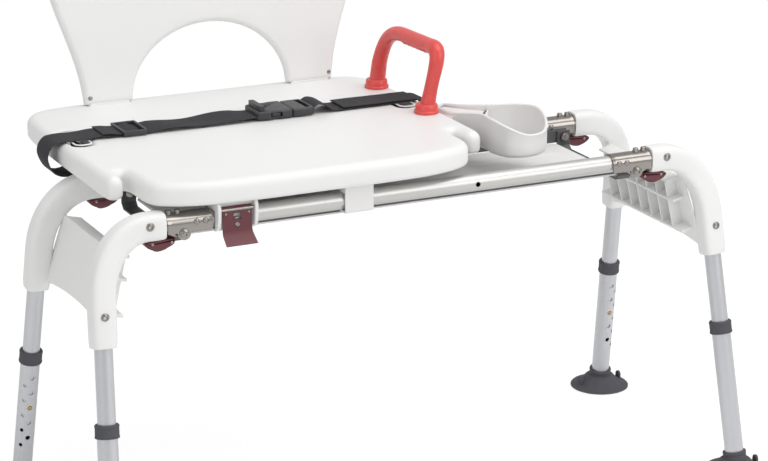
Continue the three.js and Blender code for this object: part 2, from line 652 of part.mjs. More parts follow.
function seatGeometry() {
  const outline = polygon(seatOutline().map(([x, y]) => [x + seatMiddle, y]));
  const panel = new THREE.ExtrudeGeometry(outline, {
    depth: SEAT_THICK - 2 * SEAT_ROUND, bevelEnabled: true, bevelThickness: SEAT_ROUND, bevelSize: SEAT_ROUND - 4,
    bevelOffset: 4 - SEAT_ROUND, bevelSegments: 2,
  });
  const body = solid(panel.translate(0, 0, SEAT_Z + SEAT_ROUND));
  const slots = [-1, 1].map((side) => {
    const edge = seatMiddle + side * (seatHalf - SLOT_EDGE);
    const inner = edge - side * SLOT_WIDTH;
    return box([Math.min(edge, inner), Math.max(edge, inner)],
      [BELT_Y - SLOT_LENGTH / 2, BELT_Y + SLOT_LENGTH / 2], [SEAT_Z - 1, seatTop + 1]);
  });
  const mortises = [-1, 1].map((side) => leaned(tenon(side, FIT)));
  return shell(cut(body, ...slots, ...mortises));
}

function backrestGeometry() {
  const foot = GAP + (BACKREST_THICK / 2) * Math.sin(degrees(BACKREST_LEAN));
  const outline = new THREE.Shape();
  outline.moveTo(-BACKREST_LEG_OUT, foot);
  outline.bezierCurveTo(-BACKREST_LEG_OUT - 6, 90, -BACKREST_WIDEST, 150, -BACKREST_WIDEST, BACKREST_WIDEST_AT);
  outline.bezierCurveTo(-BACKREST_WIDEST, BACKREST_HEIGHT - 30, -BACKREST_WIDEST + 40, BACKREST_HEIGHT,
    -BACKREST_WIDEST + BACKREST_CORNER, BACKREST_HEIGHT);
  outline.lineTo(BACKREST_WIDEST - BACKREST_CORNER, BACKREST_HEIGHT);
  outline.bezierCurveTo(BACKREST_WIDEST - 40, BACKREST_HEIGHT, BACKREST_WIDEST, BACKREST_HEIGHT - 30,
    BACKREST_WIDEST, BACKREST_WIDEST_AT);
  outline.bezierCurveTo(BACKREST_WIDEST, 150, BACKREST_LEG_OUT + 6, 90, BACKREST_LEG_OUT, foot);
  outline.lineTo(BACKREST_LEG_IN, foot);
  outline.absellipse(0, foot, BACKREST_LEG_IN, CUTOUT_HEIGHT, 0, Math.PI, false, 0);
  const panel = plateXZ(outline, [-BACKREST_THICK / 2, BACKREST_THICK / 2], 9);
  return leaned(shell(joined(panel, tenon(-1, 0), tenon(1, 0))));
}

// The grip leans forwards over its back foot: up from the front foot, along the top, down to the back foot.
function handleCurve() {
  const at = (y, z) => new THREE.Vector3(HANDLE_X, y, seatTop + z);
  const curve = new THREE.CurvePath();
  const front = HANDLE_FRONT_Y;
  const back = HANDLE_BACK_Y;
  const top = HANDLE_HEIGHT;
  curve.add(new THREE.LineCurve3(at(front, GAP + 2), at(front - 9, top * 0.55)));
  curve.add(new THREE.CubicBezierCurve3(at(front - 9, top * 0.55), at(front - 16, top * 0.92),
    at(front - 14, top + 2), at(front + 14, top)));
  curve.add(new THREE.LineCurve3(at(front + 14, top), at(back - 76, top)));
  curve.add(new THREE.CubicBezierCurve3(at(back - 76, top), at(back - 30, top),
    at(back - 16, top * 0.75), at(back - 6, top * 0.42)));
  curve.add(new THREE.LineCurve3(at(back - 6, top * 0.42), at(back, GAP + 2)));
  return curve;
}

function handleGeometry() {
  const section = new THREE.Shape().absarc(0, 0, HANDLE_R, 0, 2 * Math.PI, false);
  const grip = new THREE.ExtrudeGeometry(section, {
    steps: 22, curveSegments: 6, bevelEnabled: false, extrudePath: handleCurve(),
  });
  const collars = [HANDLE_FRONT_Y, HANDLE_BACK_Y].map((y) => turned([[0, 0], [HANDLE_COLLAR_R, 0],
    [HANDLE_COLLAR_R, 4], [HANDLE_COLLAR_R - 3, 6], [HANDLE_COLLAR_R - 3, HANDLE_COLLAR], [0, HANDLE_COLLAR]], 20)
    .translate(HANDLE_X, y, seatTop + GAP));
  return shell(joined(grip, ...collars));
}

// A hook that hangs from the seat in front of a rail, with a lip under it, drawn for the front rail.
function hookShape() {
  const near = -RAIL_R - FIT;
  const low = -RAIL_R - FIT;
  const top = SEAT_Z - GAP - RAIL_Z;
  const pad = RAIL_R + FIT;
  return polygon([[near - GUIDE_WALL, low - GUIDE_WALL], [near + GUIDE_LIP, low - GUIDE_WALL], [near + GUIDE_LIP, low],
    [near, low], [near, pad], [RAIL_R, pad], [RAIL_R, top], [near - GUIDE_WALL, top]]);
}

const lockFront = -RAIL_Y - RAIL_R - CHEEK_FRONT;
const leverPivot = [-RAIL_Y - RAIL_R - LEVER_PIVOT_OUT, LEVER_PIVOT_Z];

function lockHousingGeometry() {
  const hook = solid(plateYZ(hookShape(), LOCK_X).translate(0, -RAIL_Y, RAIL_Z));
  const cheekBack = -RAIL_Y - RAIL_R - FIT - 1;
  const cheeks = [[LOCK_X[0], LOCK_X[0] + CHEEK], [LOCK_X[1] - CHEEK, LOCK_X[1]]].map((x) =>
    box(x, [lockFront, cheekBack], [RAIL_Z - RAIL_R, SEAT_Z - GAP]));
  const pin = rod(new THREE.Vector3(LOCK_X[0] + 1, ...leverPivot), new THREE.Vector3(LOCK_X[1] - 1, ...leverPivot),
    LEVER_PIN_R, 12);
  const bore = rod(new THREE.Vector3(LOCK_PIN_X, -RAIL_Y, RAIL_Z), new THREE.Vector3(LOCK_PIN_X, lockFront - 5, RAIL_Z),
    LOCK_PIN_R + FIT, 12);
  return shell(cut([...cheeks, pin].reduce((all, piece) => all.add(solid(piece)), hook), bore));
}

// A plate that hangs from its pin, with a lip at the bottom that flares outwards and sideways.
function lockLeverGeometry() {
  const [y, z] = leverPivot;
  const curl = rod(new THREE.Vector3(LEVER_X[0], y, z), new THREE.Vector3(LEVER_X[1], y, z), LEVER_CURL_R, 14);
  const plate = box(LEVER_X, [y - LEVER_THICK / 2, y + LEVER_THICK / 2], [LEVER_BEND_Z, z]);
  const bore = rod(new THREE.Vector3(LEVER_X[0] - 1, y, z), new THREE.Vector3(LEVER_X[1] + 1, y, z),
    LEVER_PIN_R + FIT, 14);
  const lip = new THREE.BoxGeometry(1, LEVER_THICK, 1);
  const corners = lip.attributes.position;
  for (let i = 0; i < corners.count; i++) {
    const end = corners.getX(i) < 0 ? 0 : 1;
    const low = corners.getZ(i) < 0;
    corners.setXYZ(i, low ? LIP_X[end] : LEVER_X[end], y + corners.getY(i) - (low ? LIP_OUT : 0),
      low ? LIP_Z : LEVER_BEND_Z + 1);
  }
  return shell(cut(joined(curl, plate, lip), bore));
}

function lockPinGeometry() {
  const back = leverPivot[0] + LEVER_THICK / 2 + GAP;
  return rod(new THREE.Vector3(LOCK_PIN_X, back, RAIL_Z), new THREE.Vector3(LOCK_PIN_X, -RAIL_Y - RAIL_R - GAP, RAIL_Z),
    LOCK_PIN_R, 12);
}

// The tray's outline is one closed smooth curve, and its walls stand inwards from it.
function trayGeometry() {
  const curve = new THREE.CatmullRomCurve3(TRAY_OUTLINE.map(([x, y]) => new THREE.Vector3(SEAT_RIGHT + x, y, 0)), true);
  const count = 44;
  const ring = (inset) => Array.from({ length: count }, (_, i) => {
    const point = curve.getPointAt(i / count);
    const tangent = curve.getTangentAt(i / count);
    return [point.x - inset * tangent.y, point.y + inset * tangent.x];
  });
  const outside = new THREE.ExtrudeGeometry(polygon(ring(0)), { depth: TRAY_DEPTH, bevelEnabled: false });
  const inside = new THREE.ExtrudeGeometry(polygon(ring(TRAY_WALL)), { depth: TRAY_DEPTH, bevelEnabled: false });
  const pad = box([SEAT_RIGHT + GAP, SEAT_RIGHT + TRAY_PAD], TRAY_PAD_Y, TRAY_PAD_Z);
  const cup = joined(outside, pad.translate(0, 0, -TRAY_Z));
  return shell(cut(cup, inside.translate(0, 0, TRAY_WALL))).translate(0, 0, TRAY_Z);
}

// ---- belt ---------------------------------------------------------------------------------------------

const beltZ = seatTop + GAP + BELT_THICK / 2;
const beltBand = [BELT_Y - BELT_WIDTH / 2, BELT_Y + BELT_WIDTH / 2];

// Off the seat's edge, round the bar outside the slot in a slack loop, and up through the slot.
function beltLoop(side) {
  const edge = side < 0 ? SEAT_LEFT : SEAT_RIGHT;
  const slot = edge - side * (SLOT_EDGE + SLOT_WIDTH / 2);
  const out = (distance) => edge + side * distance;
  return [[out(-4), beltZ + 0.1], [out(5), beltZ - 1.5], [out(13), beltZ - 8], [out(18), beltZ - 20],
    [out(15), SEAT_Z + 2], [out(6), SEAT_Z - 11], [out(-8), SEAT_Z - 16], [out(-22), SEAT_Z - 13],
    [slot, SEAT_Z - 2], [slot, seatTop - 4]];
}

function addBelt() {
  const left = strip([[ADJUSTER_X[0] - GAP, beltZ], ...beltLoop(-1)], BELT_THICK);
  const right = strip([[TONGUE_X[1] + GAP, beltZ], ...beltLoop(1)], BELT_THICK);
  add(bench, 'belt_left', plateXZ(left, beltBand), webbing);
  add(bench, 'belt_right', plateXZ(right, beltBand), webbing);
  add(bench, 'belt_middle', box([ADJUSTER_X[1] + GAP, BUCKLE_X[0] - GAP], beltBand,
    [beltZ - BELT_THICK / 2, beltZ + BELT_THICK / 2]), webbing);
  const wide = [BELT_Y - BUCKLE_WIDTH / 2, BELT_Y + BUCKLE_WIDTH / 2];
  const low = seatTop + GAP;
  const frame = solid(box(ADJUSTER_X, wide, [low, low + ADJUSTER_THICK]));
  const middle = (ADJUSTER_X[0] + ADJUSTER_X[1]) / 2;
  const windows = [[ADJUSTER_X[0] + ADJUSTER_BAR, middle - 2], [middle + 2, ADJUSTER_X[1] - ADJUSTER_BAR]].map((x) =>
    box(x, [wide[0] + ADJUSTER_BAR, wide[1] - ADJUSTER_BAR], [low - 1, low + ADJUSTER_THICK + 1]));
  add(bench, 'slide_adjuster', shell(cut(frame, ...windows)), blackPlastic);
  const buckle = (x) => {
    const inset = 3;
    const shape = polygon([[wide[0], low], [wide[1], low], [wide[1], low + BUCKLE_THICK - inset],
      [wide[1] - inset, low + BUCKLE_THICK], [wide[0] + inset, low + BUCKLE_THICK],
      [wide[0], low + BUCKLE_THICK - inset]]);
    return plateYZ(shape, x);
  };
  add(bench, 'buckle_body', buckle(BUCKLE_X), blackPlastic);
  add(bench, 'buckle_tongue', buckle(TONGUE_X), blackPlastic);
}

function addSeat() {
  add(bench, 'seat_panel', seatGeometry(), whitePlastic);
  add(bench, 'backrest', backrestGeometry(), whitePlastic);
  add(bench, 'grab_handle', handleGeometry(), redPlastic);
  add(bench, 'side_tray', trayGeometry(), greyPlastic);
  add(bench, 'front_guide', plateYZ(hookShape(), FRONT_GUIDE_X), greyPlastic, [0, -RAIL_Y, RAIL_Z]);
  const rear = add(bench, 'rear_guide', plateYZ(hookShape(), REAR_GUIDE_X.map((x) => -x).reverse()), greyPlastic,
    [0, RAIL_Y, RAIL_Z]);
  rear.rotation.z = Math.PI;
  add(bench, 'lock_housing', lockHousingGeometry(), greyPlastic);
  add(bench, 'lock_lever', lockLeverGeometry(), maroon);
  add(bench, 'lock_pin', lockPinGeometry(), stainless);
}

addRailFrame();
addEnd('left');
addEnd('right');
addSeat();
addBelt();

// The origin is the middle of the footprint, at floor level.
bench.updateMatrixWorld(true);
const reach = new THREE.Box3().setFromObject(bench, true);
bench.position.y = -(reach.min.y + reach.max.y) / 2;

export default bench;
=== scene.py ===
"""A folding sliding transfer bench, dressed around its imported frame.

Metres, X along the rails, Y towards the backrest, Z up. Every sub-assembly is a class that builds its own
pieces in bench coordinates, whose Y is measured from the plane midway between the front and rear rails.
"""

import logging
import math
from collections.abc import Callable, Sequence
from dataclasses import dataclass, field
from enum import Enum

import bmesh
import bpy
import numpy as np
from mathutils.geometry import delaunay_2d_cdt
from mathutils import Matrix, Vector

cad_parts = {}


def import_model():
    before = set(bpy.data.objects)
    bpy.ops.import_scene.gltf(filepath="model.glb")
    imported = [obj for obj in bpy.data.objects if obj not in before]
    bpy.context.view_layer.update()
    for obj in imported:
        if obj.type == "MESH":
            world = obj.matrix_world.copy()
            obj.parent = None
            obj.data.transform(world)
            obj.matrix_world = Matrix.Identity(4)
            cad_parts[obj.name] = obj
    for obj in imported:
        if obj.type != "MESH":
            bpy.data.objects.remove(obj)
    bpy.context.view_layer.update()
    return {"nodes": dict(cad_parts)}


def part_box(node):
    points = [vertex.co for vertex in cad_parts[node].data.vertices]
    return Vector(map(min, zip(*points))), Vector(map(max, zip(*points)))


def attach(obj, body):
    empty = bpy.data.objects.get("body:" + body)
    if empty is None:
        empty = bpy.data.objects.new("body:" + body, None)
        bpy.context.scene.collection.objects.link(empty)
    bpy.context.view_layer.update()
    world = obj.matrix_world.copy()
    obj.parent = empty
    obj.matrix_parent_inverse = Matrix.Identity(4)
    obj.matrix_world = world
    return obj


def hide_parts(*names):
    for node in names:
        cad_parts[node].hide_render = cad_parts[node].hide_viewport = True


log = logging.getLogger("bench")
MM = 0.001
TAU = 2 * math.pi


# ---- shader building ----------------------------------------------------------------------------------


class Wire:
    """One output socket of a shader tree, with the arithmetic of the values that it carries."""

    def __init__(self, tree: "Tree", socket: bpy.types.NodeSocket) -> None:
        """Keeps the tree and the socket."""
        self.tree = tree
        self.socket = socket

    def _maths(self, operation: str, *values: "Wire | float") -> "Wire":
        """Adds a Math node for one operation on the values."""
        return self.tree.node("ShaderNodeMath", {"operation": operation}, dict(enumerate(values)))

    def __add__(self, other: "Wire | float") -> "Wire":
        """The sum."""
        return self._maths("ADD", self, other)

    __radd__ = __add__

    def __mul__(self, other: "Wire | float") -> "Wire":
        """The product."""
        return self._maths("MULTIPLY", self, other)

    __rmul__ = __mul__

    def __sub__(self, other: "Wire | float") -> "Wire":
        """The difference."""
        return self._maths("SUBTRACT", self, other)

    def __rsub__(self, other: "Wire | float") -> "Wire":
        """The difference, the other way round."""
        return self._maths("SUBTRACT", other, self)

    def __truediv__(self, other: "Wire | float") -> "Wire":
        """The quotient."""
        return self._maths("DIVIDE", self, other)

    def __gt__(self, other: "Wire | float") -> "Wire":
        """1 where this is greater."""
        return self._maths("GREATER_THAN", self, other)

    def sine(self) -> "Wire":
        """The sine of the value in radians."""
        return self._maths("SINE", self)

    def size(self) -> "Wire":
        """The absolute value."""
        return self._maths("ABSOLUTE", self)

    def power(self, exponent: float) -> "Wire":
        """The value raised to a power."""
        return self._maths("POWER", self, exponent)

    def clamped(self) -> "Wire":
        """The value kept between 0 and 1."""
        return self._maths("MINIMUM", self._maths("MAXIMUM", self, 0.0), 1.0)


class Tree:
    """A material's node tree, and its one Principled shader."""

    def __init__(self, name: str) -> None:
        """Makes an empty material of this name with one Principled shader.

        Args:
            name: the material's name.
        """
        self.material = bpy.data.materials.new(name)
        self.material.use_nodes = True
        self.nodes = self.material.node_tree.nodes
        self.nodes.clear()
        self.shader = self.nodes.new("ShaderNodeBsdfPrincipled")
        out = self.nodes.new("ShaderNodeOutputMaterial")
        self.material.node_tree.links.new(self.shader.outputs[0], out.inputs["Surface"])

    def feed(self, node: bpy.types.Node, inputs: dict) -> None:
        """Sets or links the inputs of a node.

        Args:
            node: the node.
            inputs: its sockets by name or number, each with a value or a Wire.
        """
        for key, value in inputs.items():
            if isinstance(value, Wire):
                self.material.node_tree.links.new(value.socket, node.inputs[key])
            else:
                node.inputs[key].default_value = value

    def node(self, kind: str, settings: dict | None = None, inputs: dict | None = None,
             output: str | int = 0) -> Wire:
        """Adds a node.

        Args:
            kind: the node's type.
            settings: the node's own properties, set first.
            inputs: its sockets' values or Wires.
            output: which output to return.

        Returns:
            A Wire from that output.
        """
        made = self.nodes.new(kind)
        for key, value in (settings or {}).items():
            setattr(made, key, value)
        self.feed(made, inputs or {})
        return Wire(self, made.outputs[output])

    def position(self) -> Wire:
        """Object coordinates, in metres."""
        return self.node("ShaderNodeTexCoord", output="Object")

    def stretched(self, scale: Sequence[float]) -> Wire:
        """Object coordinates scaled by a different factor on each axis."""
        return self.node("ShaderNodeMapping", {}, {"Vector": self.position(), "Scale": tuple(scale)})

    def noise(self, scale: float, detail: float = 2.0, vector: Wire | None = None) -> Wire:
        """Fractal noise about 0.5.

        Args:
            scale: features per metre.
            detail: octaves.
            vector: coordinates, or Object coordinates if left out.

        Returns:
            The noise.
        """
        at = vector or self.position()
        return self.node("ShaderNodeTexNoise", {}, {"Vector": at, "Scale": scale, "Detail": detail})

    def cells(self, scale: float) -> Wire:
        """Distance to the nearest cell centre, for moulded grain."""
        return self.node("ShaderNodeTexVoronoi", {}, {"Vector": self.position(), "Scale": scale})

    def blend(self, factor: Wire, first: Sequence[float], second: Sequence[float]) -> Wire:
        """A colour between two, by a factor."""
        return self.node("ShaderNodeMix", {"data_type": "RGBA"},
                         {"Factor": factor, 6: (*first, 1), 7: (*second, 1)}, output=2)

    def bump(self, height: Wire, depth: float, strength: float = 1.0) -> None:
        """Feeds the shader's normal from a height, whose full step is depth metres."""
        normal = self.node("ShaderNodeBump", {}, {"Height": height, "Distance": depth, "Strength": strength})
        self.feed(self.shader, {"Normal": normal})


def linear(red: int, green: int, blue: int) -> tuple[float, float, float]:
    """Turns a display colour from 0 to 255 into linear light: the standard two-piece curve."""
    def channel(value: int) -> float:
        """One channel."""
        share = value / 255
        return share / 12.92 if share <= 0.04045 else ((share + 0.055) / 1.055) ** 2.4
    return channel(red), channel(green), channel(blue)


@dataclass(frozen=True)
class Finish:
    """A finish of the bench: its colour, how it shines, and the record's material slot."""

    name: str
    slot: str
    colour: tuple[float, float, float]
    roughness: float = 0.45
    metallic: float = 0.0
    coat: float = 0.0
    spread: float = 0.06  # how much the colour varies over the surface

    def dress(self, tree: Tree) -> None:
        """Adds colour and roughness that vary softly over the surface."""
        worn = (tree.noise(9.0, 3.0) - 0.5) * 2.0
        factor = (worn * 0.5 + 0.5).clamped()
        dark = [c * (1 - self.spread) for c in self.colour]
        pale = [min(1.0, c * (1 + self.spread)) for c in self.colour]
        rough = tree.noise(60.0, 2.0) * 0.12 + (self.roughness - 0.06)
        tree.feed(tree.shader, {
            "Base Color": tree.blend(factor, dark, pale), "Roughness": rough,
            "Metallic": self.metallic, "Coat Weight": self.coat,
        })

    def relief(self, tree: Tree) -> None:
        """Adds the finish's grain, if it has one."""

    def material(self) -> bpy.types.Material:
        """The finish's material, made once."""
        if self.name not in bpy.data.materials:
            tree = Tree(self.name)
            self.dress(tree)
            self.relief(tree)
        return bpy.data.materials[self.name]


@dataclass(frozen=True)
class Moulded(Finish):
    """Moulded plastic or rubber, with a fine stipple from the mould's face."""

    grain: float = 1400.0  # grains per metre
    depth: float = 0.00006

    def relief(self, tree: Tree) -> None:
        """A stipple of small rounded cells over a faint waviness."""
        height = tree.cells(self.grain) * 0.7 + tree.noise(25.0, 2.0) * 1.5
        tree.bump(height, self.depth, 0.6)


@dataclass(frozen=True)
class Drawn(Finish):
    """Tube or bar drawn through a die, with fine streaks along its length."""

    along: tuple[float, float, float] = (4.0, 1500.0, 1500.0)  # streaks per metre on each axis

    def dress(self, tree: Tree) -> None:
        """Streaks in colour and roughness that run along the tube."""
        streak = tree.noise(1.0, 3.0, tree.stretched(self.along))
        cloud = tree.noise(14.0, 3.0)
        dark = [c * (1 - self.spread) for c in self.colour]
        pale = [min(1.0, c * (1 + self.spread)) for c in self.colour]
        factor = (streak * 0.7 + cloud * 0.3).clamped()
        rough = streak * 0.16 + cloud * 0.06 + (self.roughness - 0.11)
        tree.feed(tree.shader, {
            "Base Color": tree.blend(factor, dark, pale), "Roughness": rough,
            "Metallic": self.metallic, "Coat Weight": self.coat,
        })

    def relief(self, tree: Tree) -> None:
        """Shallow drawing lines."""
        tree.bump(tree.noise(1.0, 2.0, tree.stretched(self.along)), 0.00001, 0.35)


@dataclass(frozen=True)
class Pressed(Finish):
    """Pressed and polished sheet, with a few hairline scratches."""

    def relief(self, tree: Tree) -> None:
        """Soft dishing from the press, and hairlines across it."""
        hair = tree.noise(1.0, 2.0, tree.stretched((900.0, 60.0, 900.0)))
        tree.bump(tree.noise(45.0, 2.0) + hair * 0.08, 0.0002, 0.25)


@dataclass(frozen=True)
class Coated(Finish):
    """Powder coat or enamel, with an even orange-peel surface."""

    def relief(self, tree: Tree) -> None:
        """Orange peel about a millimetre across."""
        tree.bump(tree.noise(700.0, 2.0), 0.00005, 0.5)


@dataclass(frozen=True)
class Woven(Finish):
    """Flat webbing: cords along its length, crossed by a herringbone of weft, read from its own UV."""

    cord: float = 0.0021  # width of one warp cord
    weft: float = 0.0016

    def weave(self, tree: Tree) -> tuple[Wire, Wire]:
        """The weave's height, and its edge cords.

        Args:
            tree: the material's tree.

        Returns:
            Height from 0 to 1, and 1 on the two selvedges.
        """
        uv = tree.node("ShaderNodeUVMap", {"uv_map": "webbing"})
        split = tree.node("ShaderNodeSeparateXYZ", {}, {0: uv})
        along = Wire(tree, split.socket.node.outputs[1])
        warp = (split * (math.pi / self.cord)).sine().size()
        chevron = (split * (TAU / (self.cord * 4))).sine().size() * 1.2
        weft = ((along * (TAU / self.weft)) + chevron).sine() * 0.5 + 0.5
        selvedge = (split - 0.025).size() > 0.0225
        return warp.power(0.5) * 0.6 + weft * 0.4, selvedge

    def dress(self, tree: Tree) -> None:
        """Painted shade between the cords and a painted highlight on their crowns, from the weave's height,
        with a random tone and darker edge cords.
        """
        height, selvedge = self.weave(tree)
        # pale is the painted highlight colour of the crowns and dark the painted shade colour of the hollows;
        # the noise adds a random tone and the selvedges are a little darker
        pale = [c * 1.7 for c in self.colour]
        dark = [c * 0.55 for c in self.colour]
        factor = (height * 0.8 + tree.noise(70.0, 3.0) * 0.3 - selvedge * 0.15).clamped()
        tree.feed(tree.shader, {
            "Base Color": tree.blend(factor, dark, pale), "Metallic": 0.0,
            "Roughness": 0.95 - height * 0.18, "Sheen Weight": 0.25, "Sheen Roughness": 0.4,
        })

    def relief(self, tree: Tree) -> None:
        """The crowns of the cords."""
        height, _ = self.weave(tree)
        tree.bump(height, 0.0004, 0.8)


WHITE = Moulded("white_polyethylene", "white_moulding", linear(234, 234, 233), 0.42, spread=0.012)
GREY = Moulded("pale_grey_moulding", "grey_moulding", linear(232, 231, 230), 0.45, spread=0.015)
RED = Moulded("red_moulding", "red_moulding", linear(222, 46, 44), 0.34, spread=0.05, coat=0.15, grain=1800.0)
RUBBER = Moulded("grey_rubber", "grey_rubber", linear(94, 93, 97), 0.68, spread=0.1, grain=900.0,
                 depth=0.0001)
BLACK = Moulded("black_acetal", "black_moulding", linear(52, 53, 56), 0.42, spread=0.1, grain=1700.0)
RAIL = Drawn("anodised_rail", "aluminium_tube", linear(203, 202, 199), 0.38, 0.8, spread=0.05)
TUBE = Drawn("anodised_leg", "aluminium_tube", linear(206, 207, 210), 0.34, 0.8, spread=0.05,
             along=(1500.0, 1500.0, 4.0))
# The stainless is darker than bare steel: a painted dark reflection, standing in for the dark surroundings
# that the studio lights lack.
STEEL = Pressed("polished_stainless", "stainless_steel", linear(158, 153, 148), 0.19, 1.0, spread=0.1)
BAR = Coated("dark_powder_coat", "dark_steel", linear(88, 88, 90), 0.5, 0.3, spread=0.12)
MAROON = Coated("maroon_enamel", "maroon_enamel", linear(112, 58, 62), 0.32, 0.1, coat=0.35, spread=0.1)
BRASS = Pressed("brass", "brass_button", linear(206, 160, 96), 0.28, 1.0, spread=0.1)
WEBBING = Woven("black_webbing", "black_webbing", linear(58, 58, 60), 0.9)
THREAD = Coated("stitching_thread", "black_webbing", linear(88, 88, 90), 0.7, spread=0.1)


# ---- surfaces -----------------------------------------------------------------------------------------


class Hand(Enum):
    """Which end of the bench. The left one is the right one turned half round about Z."""

    RIGHT = 1
    LEFT = -1

    def turned(self, points: np.ndarray) -> np.ndarray:
        """Points of the right-hand end, moved to this end."""
        return points * np.array([self.value, self.value, 1.0])


class Side(Enum):
    """Which of an end's two legs, before the end is turned."""

    NEAR = -1
    FAR = 1


def corner(hand: Hand, side: Side) -> str:
    """The name of a corner of the bench, such as front_left."""
    depth = "front" if side.value * hand.value < 0 else "rear"
    return f"{depth}_{hand.name.lower()}"


class Bench:
    """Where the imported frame's middle plane is, so that pieces can be built about it."""

    middle = 0.0

    @classmethod
    def find(cls) -> None:
        """Sets the middle plane from the two rails."""
        low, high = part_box("front_rail")[0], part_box("rear_rail")[1]
        cls.middle = (low.y + high.y) / 2


def grid(rows: int, columns: int, closed: bool) -> np.ndarray:
    """Quads between rings of points.

    Args:
        rows: number of rings.
        columns: points in a ring.
        closed: whether the last ring joins the first.

    Returns:
        An array of four corner numbers a quad.
    """
    last = rows if closed else rows - 1
    i, j = np.meshgrid(np.arange(last), np.arange(columns), indexing="ij")
    down, across = (i + 1) % rows, (j + 1) % columns
    return np.stack([i * columns + j, i * columns + across, down * columns + across, down * columns + j],
                    -1).reshape(-1, 4)


def piece(name: str, bodies: Sequence[tuple[np.ndarray, bool]], crease: float = 35.0,
          uv: np.ndarray | None = None) -> bpy.types.Object:
    """One object of closed bodies, each a stack of rings.

    Args:
        name: the object's name.
        bodies: each body's points, shaped rings by points by 3, and whether its last ring joins its first.
            An open stack is closed by a flat cap at each end.
        crease: the angle in degrees past which an edge is sharp.
        uv: two values for each point of the first body, for a pattern that follows it.

    Returns:
        The object, at the origin, with its faces pointing outwards.
    """
    points, faces, start = [], [], 0
    for rings, closed in bodies:
        rows, columns = rings.shape[:2]
        points.append(rings.reshape(-1, 3))
        faces += (grid(rows, columns, closed) + start).tolist()
        if not closed:
            faces.append(list(range(start, start + columns))[::-1])
            faces.append(list(range(start + (rows - 1) * columns, start + rows * columns)))
        start += rows * columns
    return solid_of(name, np.concatenate(points), faces, crease, uv)


def solid_of(name: str, points: np.ndarray, faces: list, crease: float = 35.0,
             uv: np.ndarray | None = None) -> bpy.types.Object:
    """One object from points in bench coordinates, and faces as lists of point numbers. See piece."""
    where = points + np.array([0.0, Bench.middle, 0.0])
    mesh = bpy.data.meshes.new(name)
    mesh.from_pydata(where.tolist(), [], faces)
    work = bmesh.new()
    work.from_mesh(mesh)
    bmesh.ops.recalc_face_normals(work, faces=work.faces)
    bmesh.ops.triangulate(work, faces=[f for f in work.faces if len(f.verts) > 4], ngon_method="EAR_CLIP")
    work.to_mesh(mesh)
    work.free()
    if uv is not None:
        layer = mesh.uv_layers.new(name="webbing")
        index = np.zeros(len(mesh.loops), np.int32)
        mesh.loops.foreach_get("vertex_index", index)
        layer.data.foreach_set("uv", uv[index].ravel())
    mesh.shade_smooth()
    mesh.set_sharp_from_angle(angle=math.radians(crease))
    made = bpy.data.objects.new(name, mesh)
    bpy.context.scene.collection.objects.link(made)
    return made


def carve(target: bpy.types.Object, cutter: bpy.types.Object, crease: float = 35.0) -> None:
    """Cuts one piece by another, which is then removed."""
    cut = target.modifiers.new("cut", "BOOLEAN")
    cut.operation = "DIFFERENCE"
    cut.solver = "EXACT"
    cut.object = cutter
    bpy.context.view_layer.update()
    done = bpy.data.meshes.new_from_object(target.evaluated_get(bpy.context.evaluated_depsgraph_get()))
    target.modifiers.clear()
    target.data = done
    bpy.data.objects.remove(cutter)
    target.data.shade_smooth()
    target.data.set_sharp_from_angle(angle=math.radians(crease))


def fit(made: bpy.types.Object, finish: Finish, body: str, *stands_for: str) -> bpy.types.Object:
    """Gives a piece its finish and its body.

    Args:
        made: the piece.
        finish: its finish.
        body: the body that it rides on.
        stands_for: the CAD nodes that it stands for.

    Returns:
        The piece.
    """
    made.data.materials.clear()
    made.data.materials.append(finish.material())
    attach(made, body)
    if stands_for:
        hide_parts(*stands_for)
    log.info("%s on %s", made.name, body)
    return made


def rounded(points: Sequence[Sequence[float]], passes: int = 4) -> np.ndarray:
    """A closed outline with its corners cut round: a pass keeps the points at 1/4 and 3/4 of each side."""
    line = np.asarray(points, float)
    for _ in range(passes):
        after = np.roll(line, -1, 0)
        line = np.stack([0.75 * line + 0.25 * after, 0.25 * line + 0.75 * after], 1).reshape(-1, 2)
    return line


def eased(points: Sequence[Sequence[float]], radius: float) -> np.ndarray:
    """A closed outline with each corner rounded by a quadratic curve that starts a radius before it."""
    line = np.asarray(points, float)
    t = np.linspace(0, 1, 6)[:, None]
    out = []
    for before, here, after in zip(np.roll(line, 1, 0), line, np.roll(line, -1, 0)):
        one, two = before - here, after - here
        a = here + one * min(0.45, radius / np.linalg.norm(one))
        b = here + two * min(0.45, radius / np.linalg.norm(two))
        out.append(a * (1 - t) ** 2 + here * 2 * t * (1 - t) + b * t**2)
    return np.concatenate(out)


def spaced(line: np.ndarray, count: int) -> np.ndarray:
    """A closed outline resampled to evenly spaced points."""
    loop = np.vstack([line, line[:1]])
    reach = np.concatenate([[0], np.cumsum(np.linalg.norm(np.diff(loop, axis=0), axis=1))])
    at = np.linspace(0, reach[-1], count, endpoint=False)
    return np.stack([np.interp(at, reach, loop[:, k]) for k in range(line.shape[1])], -1)


def inset(line: np.ndarray, distance: float) -> np.ndarray:
    """A closed outline moved inwards along its normals."""
    along = np.roll(line, -1, 0) - np.roll(line, 1, 0)
    along /= np.linalg.norm(along, axis=1)[:, None] + 1e-12
    area = np.sum(line[:, 0] * np.roll(line[:, 1], -1) - np.roll(line[:, 0], -1) * line[:, 1])
    inward = np.stack([-along[:, 1], along[:, 0]], -1) * math.copysign(1, area)
    return line + inward * distance


